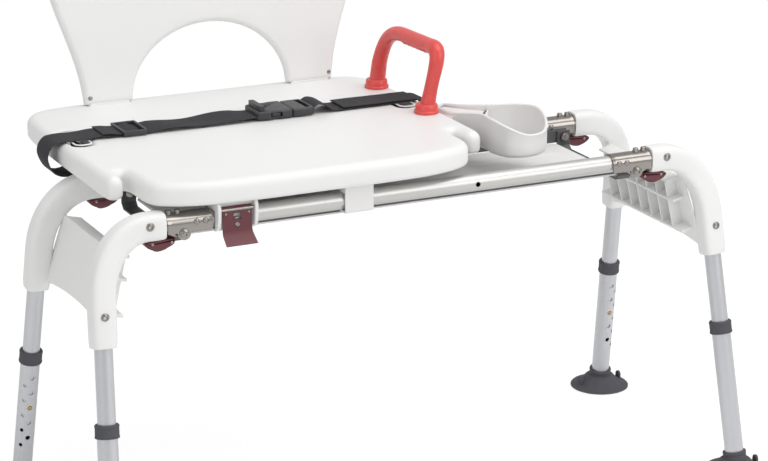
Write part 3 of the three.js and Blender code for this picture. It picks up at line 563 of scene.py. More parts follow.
def slab(outline: np.ndarray, low: float, high: float, edge: tuple[float, float],
         place: Callable[[np.ndarray, np.ndarray, np.ndarray], np.ndarray]) -> np.ndarray:
    """Rings of a moulded slab: an outline whose edges turn in through a quarter circle, above and below.

    Args:
        outline: the closed outline.
        low: height of the lower face.
        high: height of the upper face.
        edge: radius of the lower and of the upper edge.
        place: turns the two outline coordinates and the height into points.

    Returns:
        The rings, from the lower face round the side to the upper face.
    """
    turn = np.linspace(0, math.pi / 2, 7)
    down = [(edge[0] + 0.4 * MM, low)] + [(edge[0] * (1 - math.sin(t)), low + edge[0] * (1 - math.cos(t)))
                                          for t in turn]
    up = [(edge[1] * (1 - math.cos(t)), high - edge[1] * (1 - math.sin(t))) for t in turn]
    up.append((edge[1] + 0.4 * MM, high))
    rings = []
    for amount, height in down + up:
        ring = inset(outline, amount)
        rings.append(place(ring[:, 0], ring[:, 1], np.full(len(ring), height)))
    return np.array(rings)


def reach_to(points: np.ndarray, loops: Sequence[np.ndarray]) -> np.ndarray:
    """The distance from each point to the nearest side of any loop."""
    best = np.full(len(points), np.inf)
    for loop in loops:
        start, side = loop, np.roll(loop, -1, 0) - loop
        long = np.maximum(np.sum(side**2, 1), 1e-18)
        for k in range(0, len(points), 2000):
            off = points[k:k + 2000, None] - start
            share = np.clip(np.sum(off * side, 2) / long, 0, 1)
            gap = np.linalg.norm(off - share[..., None] * side, axis=2).min(1)
            best[k:k + 2000] = np.minimum(best[k:k + 2000], gap)
    return best


def within(points: np.ndarray, loop: np.ndarray) -> np.ndarray:
    """Which points lie inside a loop: those whose ray along X crosses it an odd number of times."""
    after = np.roll(loop, -1, 0)
    x, y = points[:, :1], points[:, 1:]
    spans = (loop[:, 1] > y) != (after[:, 1] > y)
    tall = np.where(after[:, 1] == loop[:, 1], 1, after[:, 1] - loop[:, 1])
    hit = loop[:, 0] + (y - loop[:, 1]) * (after[:, 0] - loop[:, 0]) / tall
    return (spans & (x < hit)).sum(1) % 2 == 1


@dataclass
class Moulding:
    """A hollow-moulded panel: an outline with holes, its faces turned in to the edge in quarter circles."""

    outline: np.ndarray
    holes: Sequence[np.ndarray]
    low: float
    high: float
    edge: tuple[float, float]  # radius of the lower and of the upper edge
    pitch: float = 0.008
    swell: Callable[[np.ndarray, np.ndarray], np.ndarray] | None = None  # added to the upper face's height

    def scatter(self) -> np.ndarray:
        """Points inside the panel: rings that follow its edges closely, and a staggered grid between them."""
        loops = [self.outline, *self.holes]
        radius = max(self.edge)
        found = []
        for turn in np.linspace(0, math.pi / 2, 8)[1:]:
            amount = radius * (1 - math.cos(turn))
            for number, loop in enumerate(loops):
                ring = inset(loop, amount if number == 0 else -amount)
                found.append(ring[reach_to(ring, loops) > amount * 0.985])
        low, high = self.outline.min(0), self.outline.max(0)
        x, y = np.meshgrid(np.arange(low[0], high[0], self.pitch), np.arange(low[1], high[1], self.pitch))
        x = x + (np.arange(len(x)) % 2)[:, None] * self.pitch / 2
        spread = np.stack([x.ravel(), y.ravel()], -1)
        found.append(spread[reach_to(spread, loops) > radius + self.pitch * 0.4])
        points = np.concatenate(found)
        keep = within(points, self.outline)
        for hole in self.holes:
            keep &= ~within(points, hole)
        return points[keep]

    @staticmethod
    def drop(distance: np.ndarray, radius: float) -> np.ndarray:
        """How far a face has turned down at a distance from the edge: a quarter circle."""
        short = np.clip(radius - distance, 0, radius)
        return radius - np.sqrt(np.maximum(radius**2 - short**2, 0))

    def mesh(self, place: Callable[[np.ndarray, np.ndarray, np.ndarray], np.ndarray]) -> tuple[np.ndarray,
                                                                                               list]:
        """The panel's points and faces.

        Args:
            place: turns the two outline coordinates and the height into points.

        Returns:
            The points, and the faces as lists of point numbers.
        """
        loops = [self.outline, *self.holes]
        points, edges, start = [], [], 0
        for loop in loops:
            points.append(loop)
            edges += [(start + k, start + (k + 1) % len(loop)) for k in range(len(loop))]
            start += len(loop)
        points.append(self.scatter())
        made = delaunay_2d_cdt(np.concatenate(points).tolist(), edges, [], 0, 1e-7)
        where = np.array([tuple(v) for v in made[0]])
        faces = np.array(made[2])
        middle = where[faces].mean(1)
        sides = where[faces[:, 1:]] - where[faces[:, :1]]
        area = np.abs(sides[:, 0, 0] * sides[:, 1, 1] - sides[:, 0, 1] * sides[:, 1, 0]) / 2
        keep = within(middle, self.outline) & (area > 1e-9)
        for hole in self.holes:
            keep &= ~within(middle, hole)
        faces = faces[keep]
        distance = reach_to(where, loops)
        lift = self.swell(where[:, 0], where[:, 1]) if self.swell else 0.0
        ease = np.clip(distance / (max(self.edge) * 2), 0, 1)
        top = self.high - self.drop(distance, self.edge[1]) + lift * ease**2 * (3 - 2 * ease)
        under = self.low + self.drop(distance, self.edge[0])
        sides = np.concatenate([faces[:, [0, 1]], faces[:, [1, 2]], faces[:, [2, 0]]])
        _, index, count = np.unique(np.sort(sides, 1), axis=0, return_index=True, return_counts=True)
        rim = sides[index[count == 1]]
        total = len(where)
        quads = np.stack([rim[:, 1], rim[:, 0], rim[:, 0] + total, rim[:, 1] + total], -1)
        solid = faces.tolist() + (faces[:, ::-1] + total).tolist() + quads.tolist()
        x, y = np.tile(where[:, 0], 2), np.tile(where[:, 1], 2)
        return place(x, y, np.concatenate([top, under])), solid


def flat(x: np.ndarray, y: np.ndarray, h: np.ndarray) -> np.ndarray:
    """An outline in X and Y, with height along Z."""
    return np.stack([x, y, h], -1)


def upright(x: np.ndarray, z: np.ndarray, h: np.ndarray) -> np.ndarray:
    """An outline in X and Z, with height along Y."""
    return np.stack([x, h, z], -1)


def across(y: np.ndarray, z: np.ndarray, h: np.ndarray) -> np.ndarray:
    """An outline in Y and Z, with height along X."""
    return np.stack([h, y, z], -1)


def rectangle(x: Sequence[float], y: Sequence[float], radius: float = 1.5 * MM) -> np.ndarray:
    """A rectangle with its corners rounded: a quarter circle at each."""
    turn = np.linspace(0, math.pi / 2, 5)
    centres = [(x[1] - radius, y[1] - radius), (x[0] + radius, y[1] - radius),
               (x[0] + radius, y[0] + radius), (x[1] - radius, y[0] + radius)]
    arcs = [np.stack([cx + radius * np.cos(turn + k * math.pi / 2),
                      cy + radius * np.sin(turn + k * math.pi / 2)],
                     -1) for k, (cx, cy) in enumerate(centres)]
    return np.concatenate(arcs)


def turned(profile: Sequence[Sequence[float]], base: Sequence[float], axis: Sequence[float],
           sides: int = 48) -> np.ndarray:
    """Rings of a turned piece: a profile of radius and height carried round an axis.

    Args:
        profile: radius and height of each ring.
        base: the point at height 0.
        axis: the direction of height.
        sides: points in a ring.

    Returns:
        The rings.
    """
    line = np.asarray(profile, float)
    up = np.asarray(axis, float) / np.linalg.norm(axis)
    helper = np.array([1.0, 0, 0]) if abs(up[0]) < 0.9 else np.array([0, 1.0, 0])
    first = np.cross(up, helper)
    first /= np.linalg.norm(first)
    second = np.cross(up, first)
    angle = np.linspace(0, TAU, sides, endpoint=False)
    spoke = np.cos(angle)[:, None] * first + np.sin(angle)[:, None] * second
    return np.asarray(base, float) + line[:, 1, None, None] * up + line[:, 0, None, None] * spoke


def pipe(start: np.ndarray, end: np.ndarray, outer: float, inner: float, sides: int = 56) -> np.ndarray:
    """Rings of a tube with an open bore and lightly broken ends."""
    axis = np.asarray(end, float) - np.asarray(start, float)
    long = float(np.linalg.norm(axis))
    b = 0.3 * MM
    return turned([(inner, 0), (outer - b, 0), (outer, b), (outer, long - b), (outer - b, long),
                   (inner, long)],
                  start, axis, sides)


def dome(radius: float, height: float, base: Sequence[float], axis: Sequence[float],
         sides: int = 24) -> np.ndarray:
    """Rings of a domed head that stands on a base point: a quarter ellipse turned about its axis."""
    turn = np.linspace(0, math.pi / 2 - 0.05, 6)
    profile = [(radius, -0.4 * MM)] + [(radius * math.cos(t), height * math.sin(t)) for t in turn]
    return turned(profile, base, axis, sides)


def swept(path: np.ndarray, side: np.ndarray, section: np.ndarray) -> np.ndarray:
    """Rings of a section carried along a path that stays in one plane.

    Args:
        path: points along the path.
        side: the plane's normal, as a unit vector.
        section: for each path point, its section's points, measured across the path and along side.

    Returns:
        The rings.
    """
    along = np.gradient(path, axis=0)
    along /= np.linalg.norm(along, axis=1)[:, None] + 1e-12
    out = np.cross(side, along)
    return path[:, None] + section[..., :1] * out[:, None] + section[..., 1:] * side


def bezier(*points: Sequence[float], count: int = 24) -> np.ndarray:
    """Points on a cubic Bezier curve with four control points."""
    a, b, c, d = (np.asarray(p, float) for p in points)
    t = np.linspace(0, 1, count)[:, None]
    return a * (1 - t) ** 3 + 3 * b * t * (1 - t) ** 2 + 3 * c * t**2 * (1 - t) + d * t**3


def smooth_through(points: Sequence[Sequence[float]], count: int) -> np.ndarray:
    """An open curve through points: each coordinate is a piecewise cubic of the distance along it."""
    knots = np.asarray(points, float)
    reach = np.concatenate([[0], np.cumsum(np.linalg.norm(np.diff(knots, axis=0), axis=1))])
    slope = np.gradient(knots, reach, axis=0)
    at = np.linspace(0, reach[-1], count)
    k = np.clip(np.searchsorted(reach, at, side="right") - 1, 0, len(knots) - 2)
    width = (reach[k + 1] - reach[k])[:, None]
    t = (at[:, None] - reach[k][:, None]) / width
    return ((2 * t**3 - 3 * t**2 + 1) * knots[k] + (t**3 - 2 * t**2 + t) * width * slope[k]
            + (3 * t**2 - 2 * t**3) * knots[k + 1] + (t**3 - t**2) * width * slope[k + 1])


# ---- rail frame ---------------------------------------------------------------------------------------


@dataclass
class RailFrame:
    """The two rails with their stiffeners, the deck between them, and the four fold hinges."""

    rail_y: float = 0.114
    rail_z: float = 0.488
    rail_radius: float = 0.0127
    rail_bore: float = 0.0107
    rail_half: float = 0.346
    holes_at: tuple[float, ...] = (-0.284, 0.094)
    hole_radius: float = 0.0039
    pivot: tuple[float, float] = (0.359, 0.476)
    ear_radius: float = 0.0095
    saddle: tuple[float, float] = (0.318, 0.383)
    saddle_inner: float = 0.0131
    saddle_wall: float = 0.0021
    skirt_z: float = 0.4772
    rivets_at: tuple[float, ...] = (0.328, 0.341)
    screws_at: tuple[float, ...] = (0.364, 0.377)
    bar_half: float = 0.3675
    bar_y: tuple[float, float] = (0.0944, 0.0984)
    bar_z: tuple[float, float] = (0.4665, 0.486)
    deck_half: float = 0.3465
    deck_y: float = 0.0941
    deck_z: tuple[float, float] = (0.4625, 0.466)

    def rails(self) -> None:
        """Two drawn tubes. The front one has the holes that the seat locks into."""
        for name, side in (("front_rail", -1), ("rear_rail", 1)):
            at = np.array([0, side * self.rail_y, self.rail_z])
            long = np.array([self.rail_half, 0, 0])
            tube = piece(f"{name}_tube", [(pipe(at - long, at + long, self.rail_radius, self.rail_bore, 64),
                                           True)])
            if side < 0:
                cutters = [(turned([(self.hole_radius, 0), (self.hole_radius, 0.012)],
                                   (x, at[1] - 0.016, at[2]), (0, 1, 0), 24), False) for x in self.holes_at]
                carve(tube, piece("cutter", cutters))
            fit(tube, RAIL, "rail_frame", name)

    def saddle_rings(self) -> np.ndarray:
        """Rings of a pressed saddle along X: an arch over the rail, its two skirts reaching to a round ear.

        The skirts' lower edge is the lower of the straight skirt line and a circle about the pivot.
        """
        x = np.linspace(*self.saddle, 66)
        off = np.clip(1 - ((x - self.pivot[0]) / self.ear_radius) ** 2, 0, None)
        ear = self.pivot[1] - self.ear_radius * np.sqrt(off)
        low = np.where(off > 0, np.minimum(ear, self.skirt_z), self.skirt_z)
        swell = 0.35 * MM * (np.exp(-((x - self.saddle[0]) / 0.003) ** 2)
                             + np.exp(-((x - self.saddle[1]) / 0.003) ** 2))
        turn = np.linspace(0, math.pi, 25)
        outer = self.saddle_inner + self.saddle_wall + swell
        inner = np.full_like(x, self.saddle_inner)

        def wall(radius: np.ndarray, angles: np.ndarray) -> np.ndarray:
            """One face of the saddle: skirt, arch, skirt."""
            right = np.stack([radius, low - self.rail_z], -1)[:, None]
            arch = np.stack([radius[:, None] * np.cos(angles), radius[:, None] * np.sin(angles)], -1)
            left = np.stack([-radius, low - self.rail_z], -1)[:, None]
            return np.concatenate([right, arch, left], 1)

        loop = np.concatenate([wall(outer, turn), wall(inner, turn)[:, ::-1]], 1)
        rings = np.empty((*loop.shape[:2], 3))
        rings[..., 0] = x[:, None]
        rings[..., 1:] = loop + np.array([0, self.rail_z])
        return rings

    def hinges(self) -> None:
        """A saddle, its rivets, screws and pivot bolt at each corner."""
        rim = self.saddle_inner + self.saddle_wall
        for hand in Hand:
            for side in Side:
                name = corner(hand, side)
                y = side.value * self.rail_y
                shift = np.array([0, y, 0])
                saddle = [(hand.turned(self.saddle_rings() + shift), False)]
                fit(piece(f"{name}_saddle", saddle, 40), STEEL, "rail_frame", f"{name}_bracket")
                heads = []
                for x in self.rivets_at:
                    for face in (-1, 1):
                        base = np.array([x, y + face * rim, self.rail_z + 0.003])
                        heads.append((hand.turned(dome(0.0042, 0.0021, base, (0, face, 0))), False))
                for x in self.screws_at:
                    base = np.array([x, y, self.rail_z + rim])
                    profile = [(0.0048, -0.001), (0.0048, 0.0008), (0.0042, 0.0012), (0.0042, 0.0036),
                               (0.0036, 0.0042), (0.0018, 0.0043), (0.0015, 0.003)]
                    heads.append((hand.turned(turned(profile, base, (0, 0, 1), 24)), False))
                fit(piece(f"{name}_rivets", heads), STEEL, "rail_frame")
                self.bolt(name, hand, side)

    def bolt(self, name: str, hand: Hand, side: Side) -> None:
        """A domed bolt through the ear, with a washer under its head and a nut inside."""
        x, z = self.pivot
        y = side.value * self.rail_y
        out = self.saddle_inner + self.saddle_wall
        base = np.array([x, y + side.value * out, z])
        axis = (0, side.value, 0)
        inside = -out - 0.0283
        profile = [(0.0055, inside), (0.0062, inside + 0.0005), (0.0062, inside + 0.0036),
                   (0.0039, inside + 0.0038),
                   (0.0039, 0.0002), (0.0076, 0.0003), (0.0076, 0.0012), (0.0064, 0.0013), (0.0062, 0.0026),
                   (0.005, 0.0038), (0.0032, 0.0043), (0.0022, 0.0043), (0.0018, 0.0028)]
        shank = hand.turned(turned(profile, base, axis, 40))
        fit(piece(f"{name}_bolt", [(shank, False)]), STEEL, "rail_frame", f"{name}_pivot_bolt")

    def bars(self) -> None:
        """Two stiffener bars of flat steel with eased edges, riveted to the rails along their length."""
        for name, side in (("front", -1), ("rear", 1)):
            line = rectangle((-self.bar_half, self.bar_half), self.bar_z, 0.0042)
            faces = sorted(side * y for y in self.bar_y)
            bodies = [(slab(line, *faces, (0.0007, 0.0007), upright), False)]
            for x in np.linspace(-0.29, 0.29, 6):
                base = (x, side * self.bar_y[0], self.bar_z[0] + 0.011)
                bodies.append((dome(0.0034, 0.0014, base, (0, -side, 0), 20), False))
            fit(piece(f"{name}_stiffener", bodies, 40), BAR, "rail_frame", f"{name}_stiffener_bar")

    def deck(self) -> None:
        """The pan between the bars: a sheet with two shallow beads along it and down-turned sides."""
        line = rectangle((-self.deck_half, self.deck_half), (-self.deck_y, self.deck_y), 0.004)

        def swell(x: np.ndarray, y: np.ndarray) -> np.ndarray:
            """Two beads, each a bell curve across, that fade out towards the ends."""
            ends = 1 / (1 + np.exp((np.abs(x) - self.deck_half + 0.03) / 0.004))
            return 0.0016 * ends * (np.exp(-((np.abs(y) - 0.045) / 0.005) ** 2))

        sheet = Moulding(spaced(line, 420), [], *self.deck_z, (0.0006, 0.0012), 0.006, swell)
        fit(solid_of("deck_sheet", *sheet.mesh(flat), 60), GREY, "rail_frame", "deck_panel")

    def build(self) -> None:
        """Makes the rails, bars, deck and hinges."""
        self.rails()
        self.bars()
        self.deck()
        self.hinges()


# ---- end frames ---------------------------------------------------------------------------------------


@dataclass
class EndFrame:
    """A moulded end: two arches, the ribbed web between them, and the latch levers under the arches."""

    hand: Hand
    start: tuple[float, float, float] = (0.385, 0.114, 0.488)
    straight: float = 0.022
    bend: tuple[float, float] = (0.045, 0.055)
    mouth: tuple[float, float, float] = (0.4866, 0.145, 0.336)
    lean: tuple[float, float] = (3.1, 10.6)
    socket: float = 0.060
    half_radial: tuple[float, float] = (0.0195, 0.0180)  # at the hinge, at the socket
    half_side: float = 0.0168
    web_low: tuple[float, float] = (0.473, 0.344)
    web_high: tuple[float, float] = (0.448, 0.450)
    web_half: tuple[float, float] = (0.138, 0.112)
    web_rise: float = 0.012
    skin: float = 0.004
    web_depth: float = 0.020
    flanges: tuple[float, ...] = (0.026, 0.074)
    rib_pitch: float = 0.030
    ribs: int = 7
    screws: tuple[tuple[float, float], ...] = ((0.409, 0.492), (0.4855, 0.381))

    def down(self, side: Side) -> np.ndarray:
        """Unit vector down a leg."""
        lean = np.array([math.tan(math.radians(self.lean[0])),
                         side.value * math.tan(math.radians(self.lean[1])), -1.0])
        return lean / np.linalg.norm(lean)

    def mouth_of(self, side: Side) -> np.ndarray:
        """The middle of a leg socket's mouth."""
        return np.array(self.mouth) * np.array([1, side.value, 1])

    def path(self, side: Side) -> np.ndarray:
        """The middle line of an arch: straight, round a Bezier bend, and straight down the socket."""
        start = np.array(self.start) * np.array([1, side.value, 1])
        bend = start + np.array([self.straight, 0, 0])
        down = self.down(side)
        mouth = self.mouth_of(side)
        into = mouth - down * self.socket
        arc = bezier(bend, bend + np.array([self.bend[0], 0, 0]), into - down * self.bend[1], into, count=34)
        run = np.linspace(start, bend, 6)[:-1]
        return np.concatenate([run, arc, np.linspace(into, mouth, 9)[1:]])

    def arch(self, side: Side) -> np.ndarray:
        """Rings of an arch: a rounded square carried along its path, deeper at the hinge than at the socket.

        The section is a superellipse, and it closes in a little at the hinge and at the mouth.
        """
        path = self.path(side)
        share = np.linspace(0, 1, len(path))
        angle = np.linspace(0, TAU, 44, endpoint=False)
        power = 0.52
        cos, sin = np.cos(angle), np.sin(angle)
        square = np.stack([np.sign(cos) * np.abs(cos) ** power, np.sign(sin) * np.abs(sin) ** power], -1)
        radial = self.half_radial[0] + (self.half_radial[1] - self.half_radial[0]) * share
        lip = 1 - 0.05 * np.exp(-share / 0.012) - 0.05 * np.exp(-(1 - share) / 0.012)
        size = np.stack([radial * lip, self.half_side * lip], -1)
        along = np.gradient(path, axis=0)
        along /= np.linalg.norm(along, axis=1)[:, None]
        out = np.cross(np.array([0, 1.0, 0]), along)
        out /= np.linalg.norm(out, axis=1)[:, None]
        third = np.cross(along, out)
        section = square[None] * size[:, None]
        return path[:, None] + section[..., :1] * out[:, None] + section[..., 1:] * third[:, None]

    def web_place(self, y: np.ndarray, up: np.ndarray, out: np.ndarray) -> np.ndarray:
        """Points of the leaning web from their place across it, up it and out of it."""
        low, high = np.array(self.web_low), np.array(self.web_high)
        rise = (high - low) / np.linalg.norm(high - low)
        normal = np.array([rise[1], -rise[0]])
        xz = low + up[..., None] * rise + out[..., None] * normal
        return np.stack([xz[..., 0], y, xz[..., 1]], -1)

    def web(self) -> list[tuple[np.ndarray, bool]]:
        """The web's skin, its two flanges and its upright ribs."""
        tall = math.dist(self.web_low, self.web_high)
        wide = np.linspace(-1, 1, 41)
        lower = np.stack([wide * self.web_half[0], self.web_rise * (1 - wide**2)], -1)
        upper = np.stack([-wide * self.web_half[1], np.full(41, tall)], -1)
        skin = np.concatenate([lower, upper])
        bodies = [(slab(skin, 0.0, self.skin, (0.0012, 0.0018), self.web_place), False)]
        for at in (*self.flanges, tall - 0.004):
            half = self.web_half[0] - (self.web_half[0] - self.web_half[1]) * at / tall
            line = rectangle((0.012 - half, half - 0.012), (at, at + 0.004), 0.0012)
            bodies.append((slab(line, -self.web_depth, 0.001, (0.0011, 0.0005), self.web_place), False))
        for y in (np.arange(self.ribs) - (self.ribs - 1) / 2) * self.rib_pitch:
            line = rectangle((y - 0.0013, y + 0.0013), (self.flanges[0] + 0.001, tall - 0.006), 0.0008)
            bodies.append((slab(line, 0.0015 - self.web_depth, 0.001, (0.0008, 0.0005), self.web_place),
                           False))
        return bodies

    def shell(self) -> None:
        """The moulding, one object that stands for the end frame."""
        name = self.hand.name.lower()
        bodies = [(self.arch(side), False) for side in Side] + self.web()
        bodies = [(self.hand.turned(rings), closed) for rings, closed in bodies]
        fit(piece(f"{name}_end_moulding", bodies, 50), WHITE, f"{name}_end", f"{name}_end_frame")

    def screws_on(self, side: Side) -> None:
        """Two socket screws in the outer face of an arch, each in a shallow washer."""
        path = self.path(side)
        heads = []
        for x, z in self.screws:
            near = path[np.argmin((path[:, 0] - x) ** 2 + (path[:, 2] - z) ** 2)]
            base = np.array([x, near[1] + side.value * (self.half_side - 0.0002), z])
            profile = [(0.0062, -0.002), (0.0062, 0.0004), (0.0056, 0.0010), (0.0049, 0.0011),
                       (0.0048, 0.0018),
                       (0.0040, 0.0024), (0.0028, 0.0025), (0.0026, 0.0022), (0.0024, -0.0012)]
            heads.append((self.hand.turned(turned(profile, base, (0, side.value, 0), 32)), False))
        name = corner(self.hand, side)
        fit(piece(f"{name}_arch_screws", heads), STEEL, f"{self.hand.name.lower()}_end")

    def latch(self, side: Side) -> None:
        """A maroon finger lever: a crescent with rounded edges and a finger lip below, on its pins."""
        x, y, z = 0.374, side.value * 0.114, 0.4695
        outline = rounded([(x - 0.004, z), (x + 0.022, z), (x + 0.034, z - 0.0015), (x + 0.041, z - 0.0045),
                           (x + 0.037, z - 0.0105), (x + 0.024, z - 0.0165), (x + 0.010, z - 0.0140),
                           (x - 0.002, z - 0.009), (x - 0.004, z - 0.003)], 3)
        body = slab(outline, y - 0.010, y + 0.010, (0.0026, 0.0026), upright)
        lip = rounded([(x + 0.005, z - 0.0120), (x + 0.031, z - 0.0120), (x + 0.025, z - 0.0180),
                       (x + 0.011, z - 0.0165)], 3)
        grip = slab(lip, y - 0.0065, y + 0.0065, (0.0015, 0.0015), upright)
        name = corner(self.hand, side)
        lever = piece(f"{name}_latch", [(self.hand.turned(body), False), (self.hand.turned(grip), False)], 50)
        fit(lever, MAROON, f"{name}_latch", f"{name}_latch_lever")
        pins = [(self.hand.turned(dome(0.0022, 0.0012, (x + dx, y + face * 0.010, z - 0.005),
                                       (0, face, 0))), False)
                for dx in (0.002, 0.030) for face in (-1, 1)]
        fit(piece(f"{name}_latch_pins", pins), STEEL, f"{name}_latch")

    def collar(self, side: Side) -> None:
        """The bright ring where an arch meets its saddle."""
        name = corner(self.hand, side)
        base = np.array([0.3832, side.value * 0.114, 0.488])
        ring = turned([(0.0128, 0), (0.0150, 0), (0.0158, 0.0006), (0.0158, 0.0020), (0.0128, 0.0020)], base,
                      (1, 0, 0), 48)
        fit(piece(f"{name}_arch_ring", [(self.hand.turned(ring), True)]), STEEL,
            f"{self.hand.name.lower()}_end")

    def build(self) -> None:
        """Makes the moulding and what is fixed to it, and then its legs."""
        self.shell()
        for side in Side:
            self.screws_on(side)
            self.latch(side)
            self.collar(side)
            Leg(self, side).build()


@dataclass
class Leg:
    """A telescopic leg: upper tube, lower tube with its height holes, collar, snap button and foot."""

    end: EndFrame
    side: Side
    upper: tuple[float, float] = (0.0127, 0.011)
    lower: tuple[float, float] = (0.0143, 0.01315)
    upper_run: tuple[float, float] = (-0.056, 0.226)
    lower_top: float = 0.108
    plug_z: float = 0.012
    first_hole: float = 0.1457
    pitch: float = 0.0254
    hole: float = 0.0036
    holes: int = 5
    button_hole: int = 2
    second_row: float = 40.0
    foot_radius: float = 0.048
    name: str = field(init=False)
    body: str = field(init=False)

    def __post_init__(self) -> None:
        """Names the leg after its corner."""
        self.name = corner(self.end.hand, self.side)
        self.body = f"{self.name}_leg"

    def at(self, distance: float) -> np.ndarray:
        """The point on the leg's axis this far below the socket's mouth."""
        return self.end.mouth_of(self.side) + self.end.down(self.side) * distance

    def put(self, name: str, bodies: list[tuple[np.ndarray, bool]], finish: Finish, body: str,
            *stands_for: str) -> bpy.types.Object:
        """Makes a piece at this end of the bench and gives it its finish and body."""
        made = piece(name, [(self.end.hand.turned(rings), closed) for rings, closed in bodies])
        return fit(made, finish, body, *stands_for)

    def spoke(self, turn: float) -> np.ndarray:
        """A direction square to the leg: towards the middle plane, then turned about the leg by an angle."""
        up = -self.end.down(self.side)
        inwards = np.array([0, -self.side.value, 0.0])
        inwards -= up * (inwards @ up)
        inwards /= np.linalg.norm(inwards)
        sideways = np.cross(up, inwards)
        angle = math.radians(turn)
        return inwards * math.cos(angle) + sideways * math.sin(angle)

    def tubes(self) -> None:
        """The two tubes, with the lower one's two staggered rows of holes cut through its wall."""
        end_body = f"{self.end.hand.name.lower()}_end"
        upper = pipe(self.at(self.upper_run[1]), self.at(self.upper_run[0]), *self.upper)
        self.put(f"{self.name}_upper_tube", [(upper, True)], TUBE, end_body, f"{self.name}_upper_leg")
        bottom = (self.end.mouth[2] - self.plug_z) / -self.end.down(self.side)[2]
        lower = pipe(self.at(bottom), self.at(self.lower_top), *self.lower)
        tube = piece(f"{self.name}_lower_tube", [(self.end.hand.turned(lower), True)])
        cutters = []
        for k in range(self.holes):
            for turn, drop, radius in ((0.0, 0.0, self.hole),
                                       (self.side.value * self.second_row, 0.5, self.hole * 0.8)):
                middle = self.at(self.first_hole + (k + drop) * self.pitch)
                spoke = self.spoke(turn)
                rings = turned([(radius, 0.006), (radius, 0.018)], middle, spoke, 20)
                cutters.append((self.end.hand.turned(rings), False))
        carve(tube, piece("cutter", cutters))
        fit(tube, TUBE, self.body, f"{self.name}_lower_leg")

    def button(self) -> None:
        """The snap button's domed head, in its hole."""
        middle = self.at(self.first_hole + self.button_hole * self.pitch)
        turn = np.linspace(0, math.pi / 2 - 0.05, 6)
        profile = [(0.0029, 0.005), (0.0029, 0.0135)] + [(0.0029 * math.cos(t), 0.0135 + 0.0022 * math.sin(t))
                                                         for t in turn[1:]]
        rings = turned(profile, middle, self.spoke(0.0), 24)
        self.put(f"{self.name}_snap_button", [(rings, False)], BRASS, f"{self.name}_button",
                 f"{self.name}_button")

    def collar(self) -> None:
        """A moulded ring clipped over the lower tube's mouth, with a bead at each rim."""
        up = -self.end.down(self.side)
        profile = [(0.0132, 0.003), (0.0158, 0.003), (0.0170, 0.0018), (0.0173, 0.0004), (0.0168, -0.0016),
                   (0.0168, -0.0124), (0.0174, -0.0142), (0.0170, -0.0158), (0.0158, -0.016),
                   (0.0147, -0.016),
                   (0.0147, 0.0), (0.0132, 0.0)]
        rings = turned(profile, self.at(self.lower_top), up, 48)
        self.put(f"{self.name}_tube_collar", [(rings, True)], RUBBER, self.body, f"{self.name}_collar")

    def foot(self) -> None:
        """A suction foot: a cup with a beaded rim and radial folds, a leaning socket and two lifting ears."""
        down = self.end.down(self.side)
        plug = self.at((self.end.mouth[2] - self.plug_z) / -down[2])
        base = np.array([plug[0], plug[1], 0.0])
        r = self.foot_radius
        cup = turned([(0.0005, 0.004), (0.034, 0.004), (0.0375, 0.0004), (r - 0.002, 0.0), (r, 0.0008),
                      (r, 0.0026),
                      (r - 0.0016, 0.0042), (r - 0.006, 0.0052), (0.036, 0.0078), (0.029, 0.0125),
                      (0.0245, 0.0178),
                      (0.0215, 0.0205), (0.0195, 0.0212), (0.0005, 0.0212)], base, (0, 0, 1), 72)
        angle = np.linspace(0, TAU, 72, endpoint=False)
        cup[8:11, :, 2] += 0.0006 * np.cos(angle * 12)
        socket_foot = self.at((self.end.mouth[2] - 0.009) / -down[2])
        socket = turned([(0.0182, 0), (0.0180, 0.012), (0.0172, 0.018), (0.0178, 0.019), (0.0180, 0.0225),
                         (0.0174, 0.0236), (0.0150, 0.0238), (0.0149, 0.012)], socket_foot, -down, 48)
        ears = []
        for end in (-1, 1):
            middle = plug[0] + end * 0.036
            ear = rounded([(plug[1] - 0.0058, 0.004), (plug[1] + 0.0058, 0.004), (plug[1] + 0.0058, 0.020),
                           (plug[1] - 0.0058, 0.020)], 3)
            ears.append((slab(ear, middle - 0.0021, middle + 0.0021, (0.0009, 0.0009), across), False))
        self.put(f"{self.name}_suction_foot", [(cup, False), (socket, False), *ears], RUBBER, self.body,
                 f"{self.name}_foot")

    def build(self) -> None:
        """Makes the leg's pieces."""
        self.tubes()
        self.button()
        self.collar()
        self.foot()


# ---- seat ---------------------------------------------------------------------------------------------


